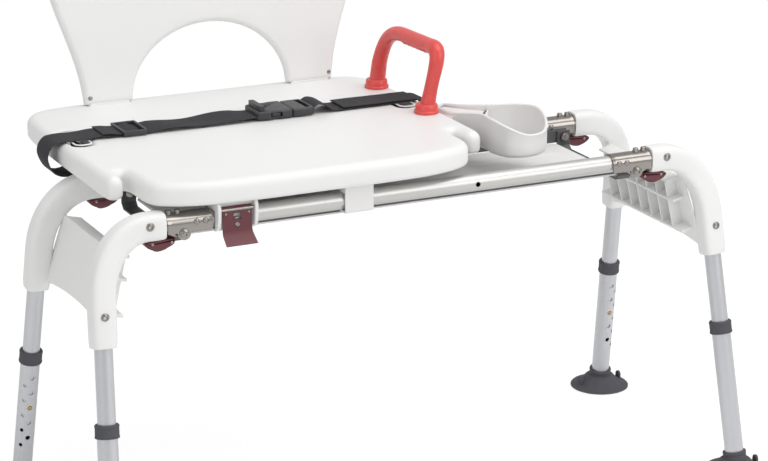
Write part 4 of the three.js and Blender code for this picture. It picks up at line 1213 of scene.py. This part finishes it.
@dataclass
class Seat:
    """The moulded seat and backrest, the grab handle, tray, guides and seat lock."""

    left: float = -0.446
    right: float = 0.136
    front: float = -0.146
    back: float = 0.352
    under: float = 0.5135
    top: float = 0.547
    belt_y: float = 0.160
    slot_edge: float = 0.021
    slot_width: float = 0.023
    slot_length: float = 0.084
    rail_y: float = 0.114
    rail_z: float = 0.488
    rail_radius: float = 0.0127
    lever_pivot: tuple[float, float] = (-0.1355, 0.503)

    def half_outline(self) -> list[tuple[float, float]]:
        """The right half of the seat's outline from the middle of the front to the middle of the back."""
        half = (self.right - self.left) / 2
        return [(0.0, self.front), (0.136, self.front), (0.196, self.front + 0.009),
                (0.236, self.front + 0.028),
                (0.2475, -0.098), (0.249, -0.078), (0.249, -0.030), (0.2565, -0.023), (0.264, -0.030),
                (0.264, -0.056), (0.270, -0.063), (half - 0.008, -0.063), (half, -0.054), (half, 0.02),
                (half, self.back - 0.062), (half - 0.018, self.back - 0.018), (half - 0.062, self.back),
                (0.0, self.back)]

    def panel(self) -> None:
        """The blow-moulded seat, with wide round edges and a belt slot beside each edge."""
        middle = (self.left + self.right) / 2
        half = self.half_outline()
        loop = half + [(-x, y) for x, y in half[-2:0:-1]]
        outline = spaced(rounded(loop, 3) + np.array([middle, 0]), 700)
        slots = []
        for side in (-1, 1):
            edge = middle + side * ((self.right - self.left) / 2 - self.slot_edge)
            x = sorted((edge, edge - side * self.slot_width))
            y = (self.belt_y - self.slot_length / 2, self.belt_y + self.slot_length / 2)
            slots.append(spaced(rectangle(x, y, 0.009), 72))

        def swell(x: np.ndarray, y: np.ndarray) -> np.ndarray:
            """A shallow dish for the sitter, inside a rim that stays level: a product of two cosines."""
            dish = np.clip(np.cos((x - middle) / 0.29 * math.pi / 2), 0, 1) * np.clip(
                np.cos((y - 0.09) / 0.24 * math.pi / 2), 0, 1)
            return -0.0016 * dish

        panel = Moulding(outline, slots, self.under, self.top, (0.007, 0.013), 0.009, swell)
        fit(solid_of("seat_moulding", *panel.mesh(flat), 60), WHITE, "seat", "seat_panel")
        self.gaskets(middle)

    def gaskets(self, middle: float) -> None:
        """A raised lip round each belt slot."""
        lips = []
        for side in (-1, 1):
            edge = middle + side * ((self.right - self.left) / 2 - self.slot_edge)
            x = sorted((edge, edge - side * self.slot_width))
            line = rectangle(x, (self.belt_y - self.slot_length / 2, self.belt_y + self.slot_length / 2),
                             0.009)
            turn = np.linspace(0, TAU, 12, endpoint=False)
            rings = [flat(*inset(line, -0.001 - 0.0014 * math.cos(t)).T, np.full(len(line), self.top + 0.001
                          * math.sin(t))) for t in turn]
            lips.append((np.array(rings), True))
        fit(piece("belt_slot_lips", lips), WHITE, "seat")

    def backrest(self) -> None:
        """The backrest: an arched panel on two legs, leaning back a little."""
        foot, high, leg_out, leg_in, wide = 0.001, 0.330, 0.205, 0.128, 0.258
        right = np.concatenate([bezier((leg_out, foot), (leg_out + 0.006, 0.09), (wide, 0.15), (wide, 0.23)),
                                bezier((wide, 0.23), (wide, high - 0.03), (wide - 0.04, high),
                                       (wide - 0.095, high))])
        left = right[::-1] * np.array([-1, 1])
        angle = np.linspace(math.pi, 0, 44)
        arch = np.stack([leg_in * np.cos(angle), foot + 0.109 * np.sin(angle)], -1)
        outline = spaced(np.concatenate([right, left, arch]), 520)
        lean = math.radians(4)

        def place(x: np.ndarray, z: np.ndarray, h: np.ndarray) -> np.ndarray:
            """Leans the panel."""
            return np.stack([x - 0.135, 0.332 + h * math.cos(lean) + z * math.sin(lean),
                             self.top + z * math.cos(lean) - h * math.sin(lean)], -1)

        points, faces = Moulding(outline, [], -0.010, 0.010, (0.0085, 0.0085), 0.010).mesh(place)
        fit(solid_of("backrest_panel", points, faces, 60), WHITE, "backrest", "backrest")
        tenons = []
        for side in (-1, 1):
            line = rectangle(sorted((side * 0.134, side * 0.199)), (-0.028, 0.004), 0.004)
            tenons.append((slab(line, -0.008, 0.008, (0.002, 0.002), place), False))
        fit(piece("backrest_tenons", tenons, 45), WHITE, "backrest")
        pin_at = 0.198
        pins = []
        for side in (-1, 1):
            base = place(np.array(side * pin_at), np.array(0.012), np.array(-0.010))
            pins.append((dome(0.0035, 0.001, base, (0, -1, 0), 20), False))
        fit(piece("backrest_leg_pins", pins), STEEL, "backrest")

    def handle(self) -> None:
        """The grab handle: a round bar that leans over its rear foot, with finger ribs under the grip."""
        x, front, back, high = 0.110, 0.072, 0.246, 0.098

        def at(y: float, z: float) -> tuple[float, float, float]:
            """A point of the handle, which leans outwards more at its front corner than at its back."""
            forward = min(1.0, max(0.0, (back - y) / (back - front)))
            return (x + (0.006 + 0.008 * forward) * (max(0.0, z) / high) ** 1.3, y, self.top + z)

        up = bezier(at(front, 0.002), at(front - 0.003, 0.02), at(front - 0.006, 0.04),
                    at(front - 0.009, 0.056))
        crook = bezier(at(front - 0.009, 0.056), at(front - 0.014, 0.086), at(front - 0.012, high + 0.001),
                       at(front + 0.012, high), count=22)
        grip = np.linspace(at(front + 0.012, high), at(back - 0.076, high), 60)
        shoulder = bezier(at(back - 0.076, high), at(back - 0.030, high), at(back - 0.016, 0.074),
                          at(back - 0.006, 0.041), count=30)
        foot = np.linspace(at(back - 0.006, 0.041), at(back, 0.002), 12)
        path = np.concatenate([up[:-1], crook[:-1], grip[:-1], shoulder[:-1], foot])
        angle = np.linspace(0, TAU, 40, endpoint=False)
        reach = path[:, 1]
        on_grip = np.clip((reach - front - 0.006) / 0.01, 0, 1) * np.clip((back - 0.078 - reach) / 0.01, 0, 1)
        on_grip = on_grip * (path[:, 2] > self.top + 0.088)
        ripple = on_grip[:, None] * 0.0016 * np.abs(np.sin(reach * math.pi / 0.0125))[:, None]
        normal_down = np.clip(np.cos(angle), 0, 1)[None] ** 0.5
        leg = np.clip((self.top + 0.075 - path[:, 2:]) / 0.075, 0, 1)
        ahead = (reach - front + 0.004) / 0.012
        above = (path[:, 2] - self.top - high) / 0.012
        corner_swell = np.exp(-(ahead ** 2 + above ** 2))
        waist = np.where(reach < (front + back) / 2, 0.0016, 0.0)[:, None] * np.sin(leg * math.pi)
        radius = 0.0112 + 0.0016 * leg - waist + 0.0010 * corner_swell[:, None] + ripple * normal_down
        section = np.stack([radius * np.cos(angle), radius * np.sin(angle)], -1)
        bar = swept(path, np.array([1.0, 0, 0]), -section)
        feet = []
        for y in (front, back):
            profile = [(0.0190, 0.0003), (0.0190, 0.0036), (0.0182, 0.0046), (0.0172, 0.0050),
                       (0.0168, 0.0120),
                       (0.0158, 0.0136), (0.0140, 0.0146), (0.0118, 0.0149)]
            feet.append((turned(profile, (x, y, self.top), (0, 0, 1), 56), False))
        fit(piece("grab_handle_moulding", [(bar, False), *feet], 50), RED, "seat", "grab_handle")
        seams = []
        for y in (front, back):
            for side in (-1, 1):
                seams.append((dome(0.0022, 0.0009, (x + side * 0.0170, y, self.top + 0.009), (side, 0, 0),
                                   16), False))
        fit(piece("grab_handle_pins", seams), RED, "seat")

    def tray(self) -> None:
        """The side tray: a thin wall round a flowing outline, its rim low in front, and a round-edged floor.

        The wall goes up outside, over a round rim and down inside, and each ring follows the rim's height.
        """
        knots = np.array([(22, -48, 559), (32, -76, 553), (58, -88, 542), (90, -80, 541), (114, -46, 551),
                          (120, -4, 559), (104, 24, 558), (69, 48, 555), (34, 84, 551), (16, 106, 549),
                          (7, 98, 549), (6, 46, 550), (15, 22, 554), (22, -8, 559)]) * MM
        knots[:, 0] += self.right
        around = np.vstack([knots[-3:], knots, knots[:4]])
        curve = smooth_through(around, 1200)
        first = int(np.argmin(np.linalg.norm(curve[:400] - knots[0], axis=1)))
        last = int(np.argmin(np.linalg.norm(curve[800:] - knots[0], axis=1))) + 800
        loop = spaced(curve[first:last], 220)
        line, rim = loop[:, :2], loop[:, 2]
        floor, wall = 0.505, 0.003
        turn = np.linspace(0, math.pi / 2, 5)
        steps = [(0.010, np.full_like(rim, floor))]
        steps += [(0.007 * (1 - math.sin(t)), floor + 0.007 * (1 - math.cos(t)) + 0 * rim) for t in turn]
        steps += [(0.0, floor + 0.5 * (rim - floor)), (0.0, rim - 0.0035)]
        steps += [(-0.0008 + 0.0023 * (1 - math.cos(t)),
                   rim - 0.002 + 0.002 * math.sin(t)) for t in (0.0, 0.8, 1.57,
                                                                                                  2.3, 3.1)]
        steps += [(wall, rim - 0.004), (wall, floor + 0.5 * (rim - floor)), (wall, floor + 0.010 + 0 * rim)]
        steps += [(wall + 0.006 * (1 - math.cos(t)),
                   floor + 0.009 - 0.006 * math.sin(t) + 0 * rim) for t in turn]
        rings = [flat(*inset(line, amount).T, height) for amount, height in steps]
        pad = slab(rectangle((self.right + 0.0003, self.right + 0.009), (0.046, 0.098), 0.002), 0.517, 0.543,
                   (0.001, 0.001), flat)
        shelf = eased([(self.right + a * MM, b * MM) for a, b in
                       ((10, 50), (10, 96), (17, 101), (34, 78), (62, 50), (56, 38), (40, 26), (28, 8),
                        (24, -2), (18, 24))],
                      0.005)
        shelf_body = slab(spaced(shelf, 160), 0.5405, 0.5450, (0.001, 0.002), flat)
        divide = eased([(self.right + a * MM, b * MM) for a, b in
                        ((24, -4), (28, 8), (40, 26), (56, 38), (63, 49), (66, 47), (59, 35), (42, 22),
                         (31, 6), (27, -6))],
                       0.004)
        wall_body = slab(spaced(divide, 120), floor + 0.004, 0.5475, (0.0006, 0.0012), flat)
        bodies = [(np.array(rings), False), (pad, False), (shelf_body, False), (wall_body, False)]
        fit(piece("side_tray_moulding", bodies, 50), GREY, "seat", "side_tray")

    def hook_outline(self) -> np.ndarray:
        """A guide's outline in Y and Z, drawn about the front rail: a hook before it with a lip below."""
        near, wall, lip = -self.rail_radius - 0.0004, 0.003, 0.016
        top = self.under - 0.0003 - self.rail_z
        pad = self.rail_radius + 0.0004
        points = [(near - wall, near - wall + 0.003), (near - wall + 0.003, near - wall),
                  (near + lip, near - wall),
                  (near + lip, near), (near, near), (near, pad), (self.rail_radius, pad),
                  (self.rail_radius, top),
                  (near - wall, top)]
        dense = np.concatenate([np.linspace(a, b, 9)[:-1] for a, b in
                                zip(points, points[1:] + points[:1])])
        return dense

    def guides(self) -> None:
        """The hooks that hold the seat down on the rails."""
        line = self.hook_outline()

        def front(y: np.ndarray, z: np.ndarray, h: np.ndarray) -> np.ndarray:
            """About the front rail."""
            return np.stack([h, y - self.rail_y, z + self.rail_z], -1)

        def rear(y: np.ndarray, z: np.ndarray, h: np.ndarray) -> np.ndarray:
            """About the rear rail."""
            return np.stack([h, self.rail_y - y, z + self.rail_z], -1)

        front_hook = slab(line, -0.118, -0.074, (0.0008, 0.0008), front)
        fit(piece("front_guide_hook", [(front_hook, False)], 40), GREY, "seat", "front_guide")
        rear_hook = slab(line, -0.312, -0.074, (0.0008, 0.0008), rear)
        fit(piece("rear_guide_hook", [(rear_hook, False)], 40), GREY, "seat", "rear_guide")
        housing = [(slab(line, -0.314, -0.254, (0.0008, 0.0008), front), False)]
        y = (-self.rail_y - self.rail_radius - 0.014, -self.rail_y - self.rail_radius - 0.0014)
        for x in ((-0.314, -0.309), (-0.259, -0.254)):
            cheek = rounded([(y[1], self.under - 0.0003), (y[0], self.under - 0.0003), (y[0], 0.492),
                             (y[0] + 0.004, 0.4755),
                             (y[1], 0.4755)], 1)
            housing.append((slab(spaced(cheek, 60), *x, (0.0009, 0.0009), across), False))
        block = piece("seat_lock_housing", housing, 40)
        bore = turned([(0.0039, 0), (0.0039, 0.02)],
                      (-0.284, -self.rail_y - self.rail_radius + 0.002, self.rail_z),
                      (0, -1, 0), 24)
        carve(block, piece("cutter", [(bore, False)]), 40)
        fit(block, GREY, "seat", "lock_housing")
        pin = turned([(0.0024, 0), (0.0024, 0.058)], (-0.313, *self.lever_pivot), (1, 0, 0), 24)
        fit(piece("seat_lock_axle", [(pin, False)]), STEEL, "seat")

    def lock(self) -> None:
        """The seat lock: a bent plate hung from its axle, with a window, a screw and a flared finger lip."""
        y, z = self.lever_pivot
        curl = np.linspace(-2.9, 0.0, 16)
        over = np.stack([y + 0.0035 - 0.0035 * np.cos(curl), z + 0.0035 * -np.sin(curl)], -1)
        plate = np.linspace((y, z), (y, 0.474), 14)[1:]
        bend = bezier((y, 0.474), (y, 0.469), (y - 0.002, 0.466), (y - 0.005, 0.4635), count=8)[1:]
        lip = np.linspace((y - 0.005, 0.4635), (y - 0.0145, 0.4552), 8)[1:]
        run = np.concatenate([over[over[:, 1] > z - 0.001], plate, bend, lip])
        path = np.column_stack([np.full(len(run), -0.284), run])
        share = np.clip((0.4735 - run[:, 1]) / 0.018, 0, 1)
        half = 0.0218 + 0.0014 * share
        side_shift = 0.0012 * share
        corner_points = rectangle((-1, 1), (-1, 1), 0.9)
        section = np.empty((len(run), len(corner_points), 2))
        section[..., 0] = corner_points[None, :, 0] * 0.0010
        section[..., 1] = np.clip(corner_points[None, :, 1] * 1.6, -1,
                                  1) * half[:, None] + side_shift[:, None]
        lever = piece("seat_lock_plate", [(swept(path, np.array([1.0, 0, 0]), section), False)], 40)
        line = rectangle((-0.2895, -0.2785), (0.4885, 0.4975), 0.0015)
        window = np.array([upright(line[:, 0], line[:, 1], np.full(len(line), h)) for h in (y - 0.004,
                                                                                            y + 0.003)])
        carve(lever, piece("cutter", [(window, False)]), 40)
        fit(lever, MAROON, "lock_lever", "lock_lever")
        screw = [(turned([(0.0034, -0.001), (0.0034, 0.0004), (0.0026, 0.0014), (0.0012, 0.0016),
                          (0.0009, 0.0008)],
                         (-0.284, y - 0.001, 0.4815), (0, -1, 0), 24), False)]
        for x in (-0.301, -0.267):
            screw.append((dome(0.002, 0.0012, (x, y - 0.001, 0.4975), (0, -1, 0), 16), False))
        fit(piece("seat_lock_screw", screw), STEEL, "lock_lever")

    def build(self) -> None:
        """Makes the seat's pieces."""
        self.panel()
        self.backrest()
        self.handle()
        self.tray()
        self.guides()
        self.lock()


# ---- belt ---------------------------------------------------------------------------------------------


@dataclass
class Belt:
    """The lap belt: webbing with a slack loop at each edge of the seat, its adjuster and its buckle."""

    seat: Seat
    width: float = 0.050
    thick: float = 0.0019
    adjuster: tuple[float, float] = (-0.350, -0.312)
    buckle: tuple[float, float] = (-0.138, -0.082)
    tongue: tuple[float, float] = (-0.0814, -0.046)

    def ribbon(self, name: str, points: Sequence[Sequence[float]], count: int, wave: float,
               *stands_for: str) -> None:
        """A length of webbing.

        Its middle line runs through points of X, Y and Z. Its section is a thin rounded bar across Y, and it
        wanders and tilts a little along its length by sums of sines.

        Args:
            name: the piece's name.
            points: X, Y and Z of points along the middle line.
            count: sections along it.
            wave: how far it ripples, in metres.
            stands_for: the CAD nodes that it stands for.
        """
        line = smooth_through(points, count)
        reach = np.concatenate([[0], np.cumsum(np.linalg.norm(np.diff(line, axis=0), axis=1))])
        columns = 13
        spread = np.linspace(-0.5, 0.5, columns)
        turn = np.concatenate([spread, spread[::-1]])
        face = np.concatenate([np.full(columns, 0.5), np.full(columns, -0.5)])
        face[[0, columns - 1, columns, 2 * columns - 1]] *= 0.45
        along = np.gradient(line * np.array([1, 0, 1]), axis=0)
        along /= np.linalg.norm(along, axis=1)[:, None]
        out = np.cross(np.array([0, 1.0, 0]), along)
        out *= np.where(out[:1, 2:] < 0, -1, 1)
        ease = np.clip(np.minimum(reach, reach[-1] - reach) / 0.03, 0, 1)[:, None]
        ripple = wave * ease * (0.5 + 0.5 * np.sin(reach[:, None] * 47 + turn * 2.6)) * (0.6 + turn * 0.8)
        rings = (line[:, None] + np.array([0, 1.0, 0]) * (turn * self.width)[None, :, None]
                 + out[:, None] * (face * self.thick)[None, :, None]
                 + np.array([0, 0, 1.0]) * ripple[..., None])
        uv = np.stack([np.broadcast_to((turn + 0.5) * self.width, (count, 2 * columns)),
                       np.broadcast_to(reach[:, None], (count, 2 * columns))], -1).reshape(-1, 2)
        fit(piece(name, [(rings, False)], 60, uv), WEBBING, "seat", *stands_for)

    def loop(self, side: int) -> list[tuple[float, float, float]]:
        """Off the edge of the seat, round it in a slack loop, and up through the slot."""
        seat = self.seat
        edge = seat.left if side < 0 else seat.right
        slot = edge - side * (seat.slot_edge + seat.slot_width / 2)
        y, top, under = seat.belt_y, seat.top + 0.0016, seat.under
        return [(edge - side * 0.004, y, top + 0.0004), (edge + side * 0.006, y, top - 0.0012),
                (edge + side * 0.014, y, top - 0.0085), (edge + side * 0.018, y, top - 0.021),
                (edge + side * 0.015, y, under + 0.002), (edge + side * 0.006, y, under - 0.011),
                (edge - side * 0.008, y, under - 0.0155), (edge - side * 0.022, y, under - 0.0125),
                (slot, y, under - 0.002), (slot, y, seat.top - 0.005)]

    def webbing(self) -> None:
        """The three lengths of webbing, the doubled sewn end and its stitching."""
        y, z = self.seat.belt_y, self.seat.top + 0.0016
        centre = sum(self.adjuster) / 2
        left = [(centre + 0.004, y, z + 0.0048), (centre - 0.004, y, z + 0.0046),
                (centre - 0.013, y, z + 0.0006),
                (self.adjuster[0] - 0.006, y, z + 0.0004), (self.adjuster[0] - 0.03, y, z + 0.0026),
                (-0.41, y, z + 0.0008)] + self.loop(-1)
        self.ribbon("belt_left_webbing", left, 120, 0.0008, "belt_left")
        middle = [(centre + 0.0045, y, z + 0.0026), (centre + 0.013, y, z + 0.0004),
                  (self.adjuster[1] + 0.006, y, z + 0.0004), (-0.28, y, z + 0.0022), (-0.22, y, z + 0.0004),
                  (-0.17, y, z + 0.0018), (self.buckle[0] + 0.004, y, z + 0.003)]
        self.ribbon("belt_middle_webbing", middle, 90, 0.0050, "belt_middle")
        right = [(self.tongue[1] - 0.006, y, z + 0.0052), (self.tongue[1] + 0.007, y, z + 0.0125),
                 (self.tongue[1] + 0.017, y, z + 0.0105), (self.tongue[1] + 0.031, y, z + 0.0014),
                 (0.02, y, z + 0.0005),
                 (0.06, y, z + 0.0006), (0.10, y, z + 0.0006)] + self.loop(1)
        self.ribbon("belt_right_webbing", right, 150, 0.0012, "belt_right")
        sewn = [(x, y, z + 0.0032) for x in (0.002, 0.030, 0.060, 0.090, 0.126)]
        self.ribbon("belt_sewn_end", sewn, 60, 0.0004)
        tail = [(centre + 0.002, y, z + 0.0052), (centre - 0.013, y, z + 0.0030),
                (self.adjuster[0] - 0.004, y, z + 0.0028),
                (self.adjuster[0] - 0.018, y, z + 0.0050), (self.adjuster[0] - 0.030, y, z + 0.0056)]
        self.ribbon("belt_adjuster_tail", tail, 40, 0.0006)
        stitches = []
        for x in (0.006, 0.034, 0.116):
            for k in range(12):
                at = (x, y - 0.0215 + k * 0.0037, z + 0.0044)
                stitches.append((turned([(0.0001, 0), (0.0004, 0.0003), (0.0004, 0.0023), (0.0001, 0.0026)],
                                        at,
                                        (0, 1, 0), 8), False))
        for edge in (-0.0205, 0.0205):
            for k in range(30):
                at = (0.006 + k * 0.0037, y + edge, z + 0.0044)
                stitches.append((turned([(0.0001, 0), (0.0004, 0.0003), (0.0004, 0.0023), (0.0001, 0.0026)],
                                        at,
                                        (1, 0, 0), 8), False))
        fit(piece("belt_stitching", stitches), THREAD, "seat")

    def frame_bars(self) -> None:
        """The slide adjuster: a rounded frame with a raised middle bar that the webbing passes over."""
        y, z = self.seat.belt_y, self.seat.top + 0.0006
        wide, bar = 0.029, 0.0042
        x0, x1 = self.adjuster
        bars = []
        for line, low in ((rectangle((x0, x0 + bar), (y - wide, y + wide), 0.0018), 0.0046),
                          (rectangle((x1 - bar, x1), (y - wide, y + wide), 0.0018), 0.0030),
                          (rectangle((x0 + 0.001, x1 - 0.001), (y - wide, y - wide + bar - 0.0008), 0.0015),
                           0.0002),
                          (rectangle((x0 + 0.001, x1 - 0.001), (y + wide - bar + 0.0008, y + wide), 0.0015),
                           0.0002)):
            bars.append((slab(line, z + low, z + 0.0082, (0.0013, 0.0015), flat), False))
        centre = (x0 + x1) / 2
        line = rectangle((centre - 0.0024, centre + 0.0024), (y - wide + 0.001, y + wide - 0.001), 0.0018)
        bars.append((slab(line, z, z + 0.0030, (0.001, 0.0012), flat), False))
        fit(piece("slide_adjuster_frame", bars, 50), BLACK, "seat", "slide_adjuster")

    def buckles(self) -> None:
        """The side-release buckle: a hollow body, and a tongue whose prongs show in its side windows."""
        y, z = self.seat.belt_y, self.seat.top + 0.0005
        x0, x1 = self.buckle
        outline = eased([(x0, y - 0.0265), (x0 + 0.018, y - 0.029), (x0 + 0.028, y - 0.0262),
                         (x0 + 0.038, y - 0.029),
                         (x1, y - 0.0280), (x1, y + 0.0280), (x0 + 0.038, y + 0.029),
                         (x0 + 0.028, y + 0.0262),
                         (x0 + 0.018, y + 0.029), (x0, y + 0.0265)], 0.0035)
        body = slab(spaced(outline, 200), z, z + 0.0128, (0.0022, 0.0034), flat)
        shell = piece("buckle_shell", [(body, False)], 45)
        cutters = []
        slot = rectangle((x0 + 0.0045, x0 + 0.0125), (y - 0.0225, y + 0.0225), 0.0018)
        cutters.append((np.array([flat(*slot.T, np.full(len(slot), h)) for h in (z - 0.002, z + 0.02)]),
                        False))
        for side in (-1, 1):
            near = sorted((y + side * 0.0205, y + side * 0.034))
            notch = rectangle((x0 + 0.0205, x0 + 0.0385), near, 0.0022)
            cutters.append((np.array([flat(*notch.T, np.full(len(notch), h)) for h in (z + 0.0034,
                                                                                       z + 0.0094)]), False))
        mouth = rectangle((y - 0.0235, y + 0.0235), (z + 0.0032, z + 0.0098), 0.0012)
        cutters.append((np.array([across(mouth[:, 0], mouth[:, 1], np.full(len(mouth), h))
                                  for h in (x1 - 0.012, x1 + 0.003)]), False))
        carve(shell, piece("cutter", cutters), 45)
        fit(shell, BLACK, "seat", "buckle_body")
        t0, t1 = self.tongue
        outline = eased([(t0, y - 0.0278), (t0 + 0.012, y - 0.029), (t1 - 0.004, y - 0.0285), (t1, y - 0.025),
                         (t1, y + 0.025), (t1 - 0.004, y + 0.0285), (t0 + 0.012, y + 0.029),
                         (t0, y + 0.0278)], 0.003)
        tongue = piece("buckle_prongs", [(slab(spaced(outline, 160), z, z + 0.0118, (0.002, 0.0030), flat),
                                          False)], 45)
        slot = rectangle((t1 - 0.0135, t1 - 0.0055), (y - 0.0225, y + 0.0225), 0.0018)
        carve(tongue, piece("cutter", [(np.array([flat(*slot.T, np.full(len(slot), h))
                                                  for h in (z - 0.002, z + 0.02)]), False)]), 45)
        fit(tongue, BLACK, "seat", "buckle_tongue")
        prongs = []
        for side in (-1, 1):
            line = rectangle((x0 + 0.022, x0 + 0.037), sorted((y + side * 0.0215, y + side * 0.0272)), 0.002)
            prongs.append((slab(line, z + 0.0038, z + 0.0090, (0.0012, 0.0012), flat), False))
        fit(piece("buckle_release_tabs", prongs, 50), BLACK, "seat")

    def build(self) -> None:
        """Makes the belt's pieces."""
        self.webbing()
        self.frame_bars()
        self.buckles()


# ---- frame nodes kept as they are ---------------------------------------------------------------------


def paint_frame(frame: dict) -> None:
    """Gives each CAD node that still shows its finish.
    """
    finishes = {
        "cross_strap": BAR, "hinge_tongue": STEEL, "lock_pin": STEEL,
    }
    for name, node in frame["nodes"].items():
        for ending, finish in finishes.items():
            if name.endswith(ending):
                node.data.materials.clear()
                node.data.materials.append(finish.material())


# ---- studio -------------------------------------------------------------------------------------------


@dataclass
class Studio:
    """Camera, lamps, floor and backdrop."""

    camera_at: tuple[float, float, float] = (-1.5240, -3.1760, 1.4870)
    target: tuple[float, float, float] = (0.0045, 0.0, 0.3955)
    lens: float = 117.1
    world_light: float = 0.62

    def camera(self) -> None:
        """A long lens, a little above the seat, from the front left."""
        data = bpy.data.cameras.new("camera")
        data.lens = self.lens
        data.sensor_width = 36
        data.clip_end = 60
        made = bpy.data.objects.new("camera", data)
        bpy.context.scene.collection.objects.link(made)
        shift = np.array([0, Bench.middle, 0])
        place = np.array(self.camera_at) + shift
        aim = np.array(self.target) + shift - place
        made.location = place
        made.rotation_euler = (math.acos(-aim[2] / np.linalg.norm(aim)), 0, math.atan2(-aim[0], aim[1]))
        bpy.context.scene.camera = made

    def lamp(self, name: str, place: Sequence[float], size: float, power: float) -> None:
        """A square soft light that points at the middle of the bench."""
        data = bpy.data.lights.new(name, "AREA")
        data.size = size
        data.energy = power
        made = bpy.data.objects.new(name, data)
        bpy.context.scene.collection.objects.link(made)
        aim = np.array([0, 0, 0.5]) - np.array(place)
        made.location = place
        made.rotation_euler = (math.acos(-aim[2] / np.linalg.norm(aim)), 0, math.atan2(-aim[0], aim[1]))

    def world(self) -> None:
        """Even pale light, white where the camera sees it, straight or through glass."""
        world = bpy.data.worlds.new("studio")
        bpy.context.scene.world = world
        world.use_nodes = True
        tree = world.node_tree
        background = tree.nodes["Background"]
        background.inputs["Color"].default_value = (1, 1, 1, 1)
        path = tree.nodes.new("ShaderNodeLightPath")
        seen = tree.nodes.new("ShaderNodeMath")
        seen.operation = "MAXIMUM"
        tree.links.new(path.outputs["Is Camera Ray"], seen.inputs[0])
        tree.links.new(path.outputs["Is Transmission Ray"], seen.inputs[1])
        strength = tree.nodes.new("ShaderNodeMapRange")
        strength.inputs["To Min"].default_value = self.world_light
        strength.inputs["To Max"].default_value = 1.0
        tree.links.new(seen.outputs[0], strength.inputs["Value"])
        tree.links.new(strength.outputs[0], background.inputs["Strength"])

    def floor(self) -> None:
        """A wide pale floor that takes the bench's soft shadow."""
        mesh = bpy.data.meshes.new("floor")
        size = 12.0
        mesh.from_pydata([(-size, -size, 0), (size, -size, 0), (size, size, 0), (-size, size, 0)], [],
                         [(0, 1, 2, 3)])
        made = bpy.data.objects.new("floor", mesh)
        made.location.z = -0.0005
        bpy.context.scene.collection.objects.link(made)
        tree = Tree("floor")
        tree.feed(tree.shader, {"Base Color": (0.9, 0.9, 0.9, 1), "Roughness": 0.9})
        glow = tree.node("ShaderNodeEmission", {}, {"Color": (1, 1, 1, 1), "Strength": 1.22})
        seen = tree.node("ShaderNodeLightPath", output="Is Camera Ray") * 0.62
        plain = Wire(tree, tree.shader.outputs[0])
        mix = tree.node("ShaderNodeMixShader", {}, {0: seen, 1: plain, 2: glow})
        out = next(n for n in tree.nodes if n.type == "OUTPUT_MATERIAL")
        tree.feed(out, {"Surface": mix})
        mesh.materials.append(tree.material)

    def build(self) -> None:
        """Makes the studio."""
        bpy.context.scene.view_settings.view_transform = "Standard"
        self.camera()
        self.world()
        self.floor()
        self.lamp("top light", (0.6, -0.8, 3.2), 2.6, 46)
        self.lamp("front light", (1.8, -3.2, 1.9), 2.0, 26)
        self.lamp("left light", (-3.2, -1.6, 1.6), 1.6, 10)


def main() -> None:
    """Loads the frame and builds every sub-assembly."""
    logging.basicConfig(level=logging.INFO, format="%(name)s: %(message)s")
    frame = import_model()
    Bench.find()
    Studio().build()
    RailFrame().build()
    for hand in Hand:
        EndFrame(hand).build()
    seat = Seat()
    seat.build()
    Belt(seat).build()
    paint_frame(frame)
    bpy.context.view_layer.update()


if __name__ == "__main__":
    main()
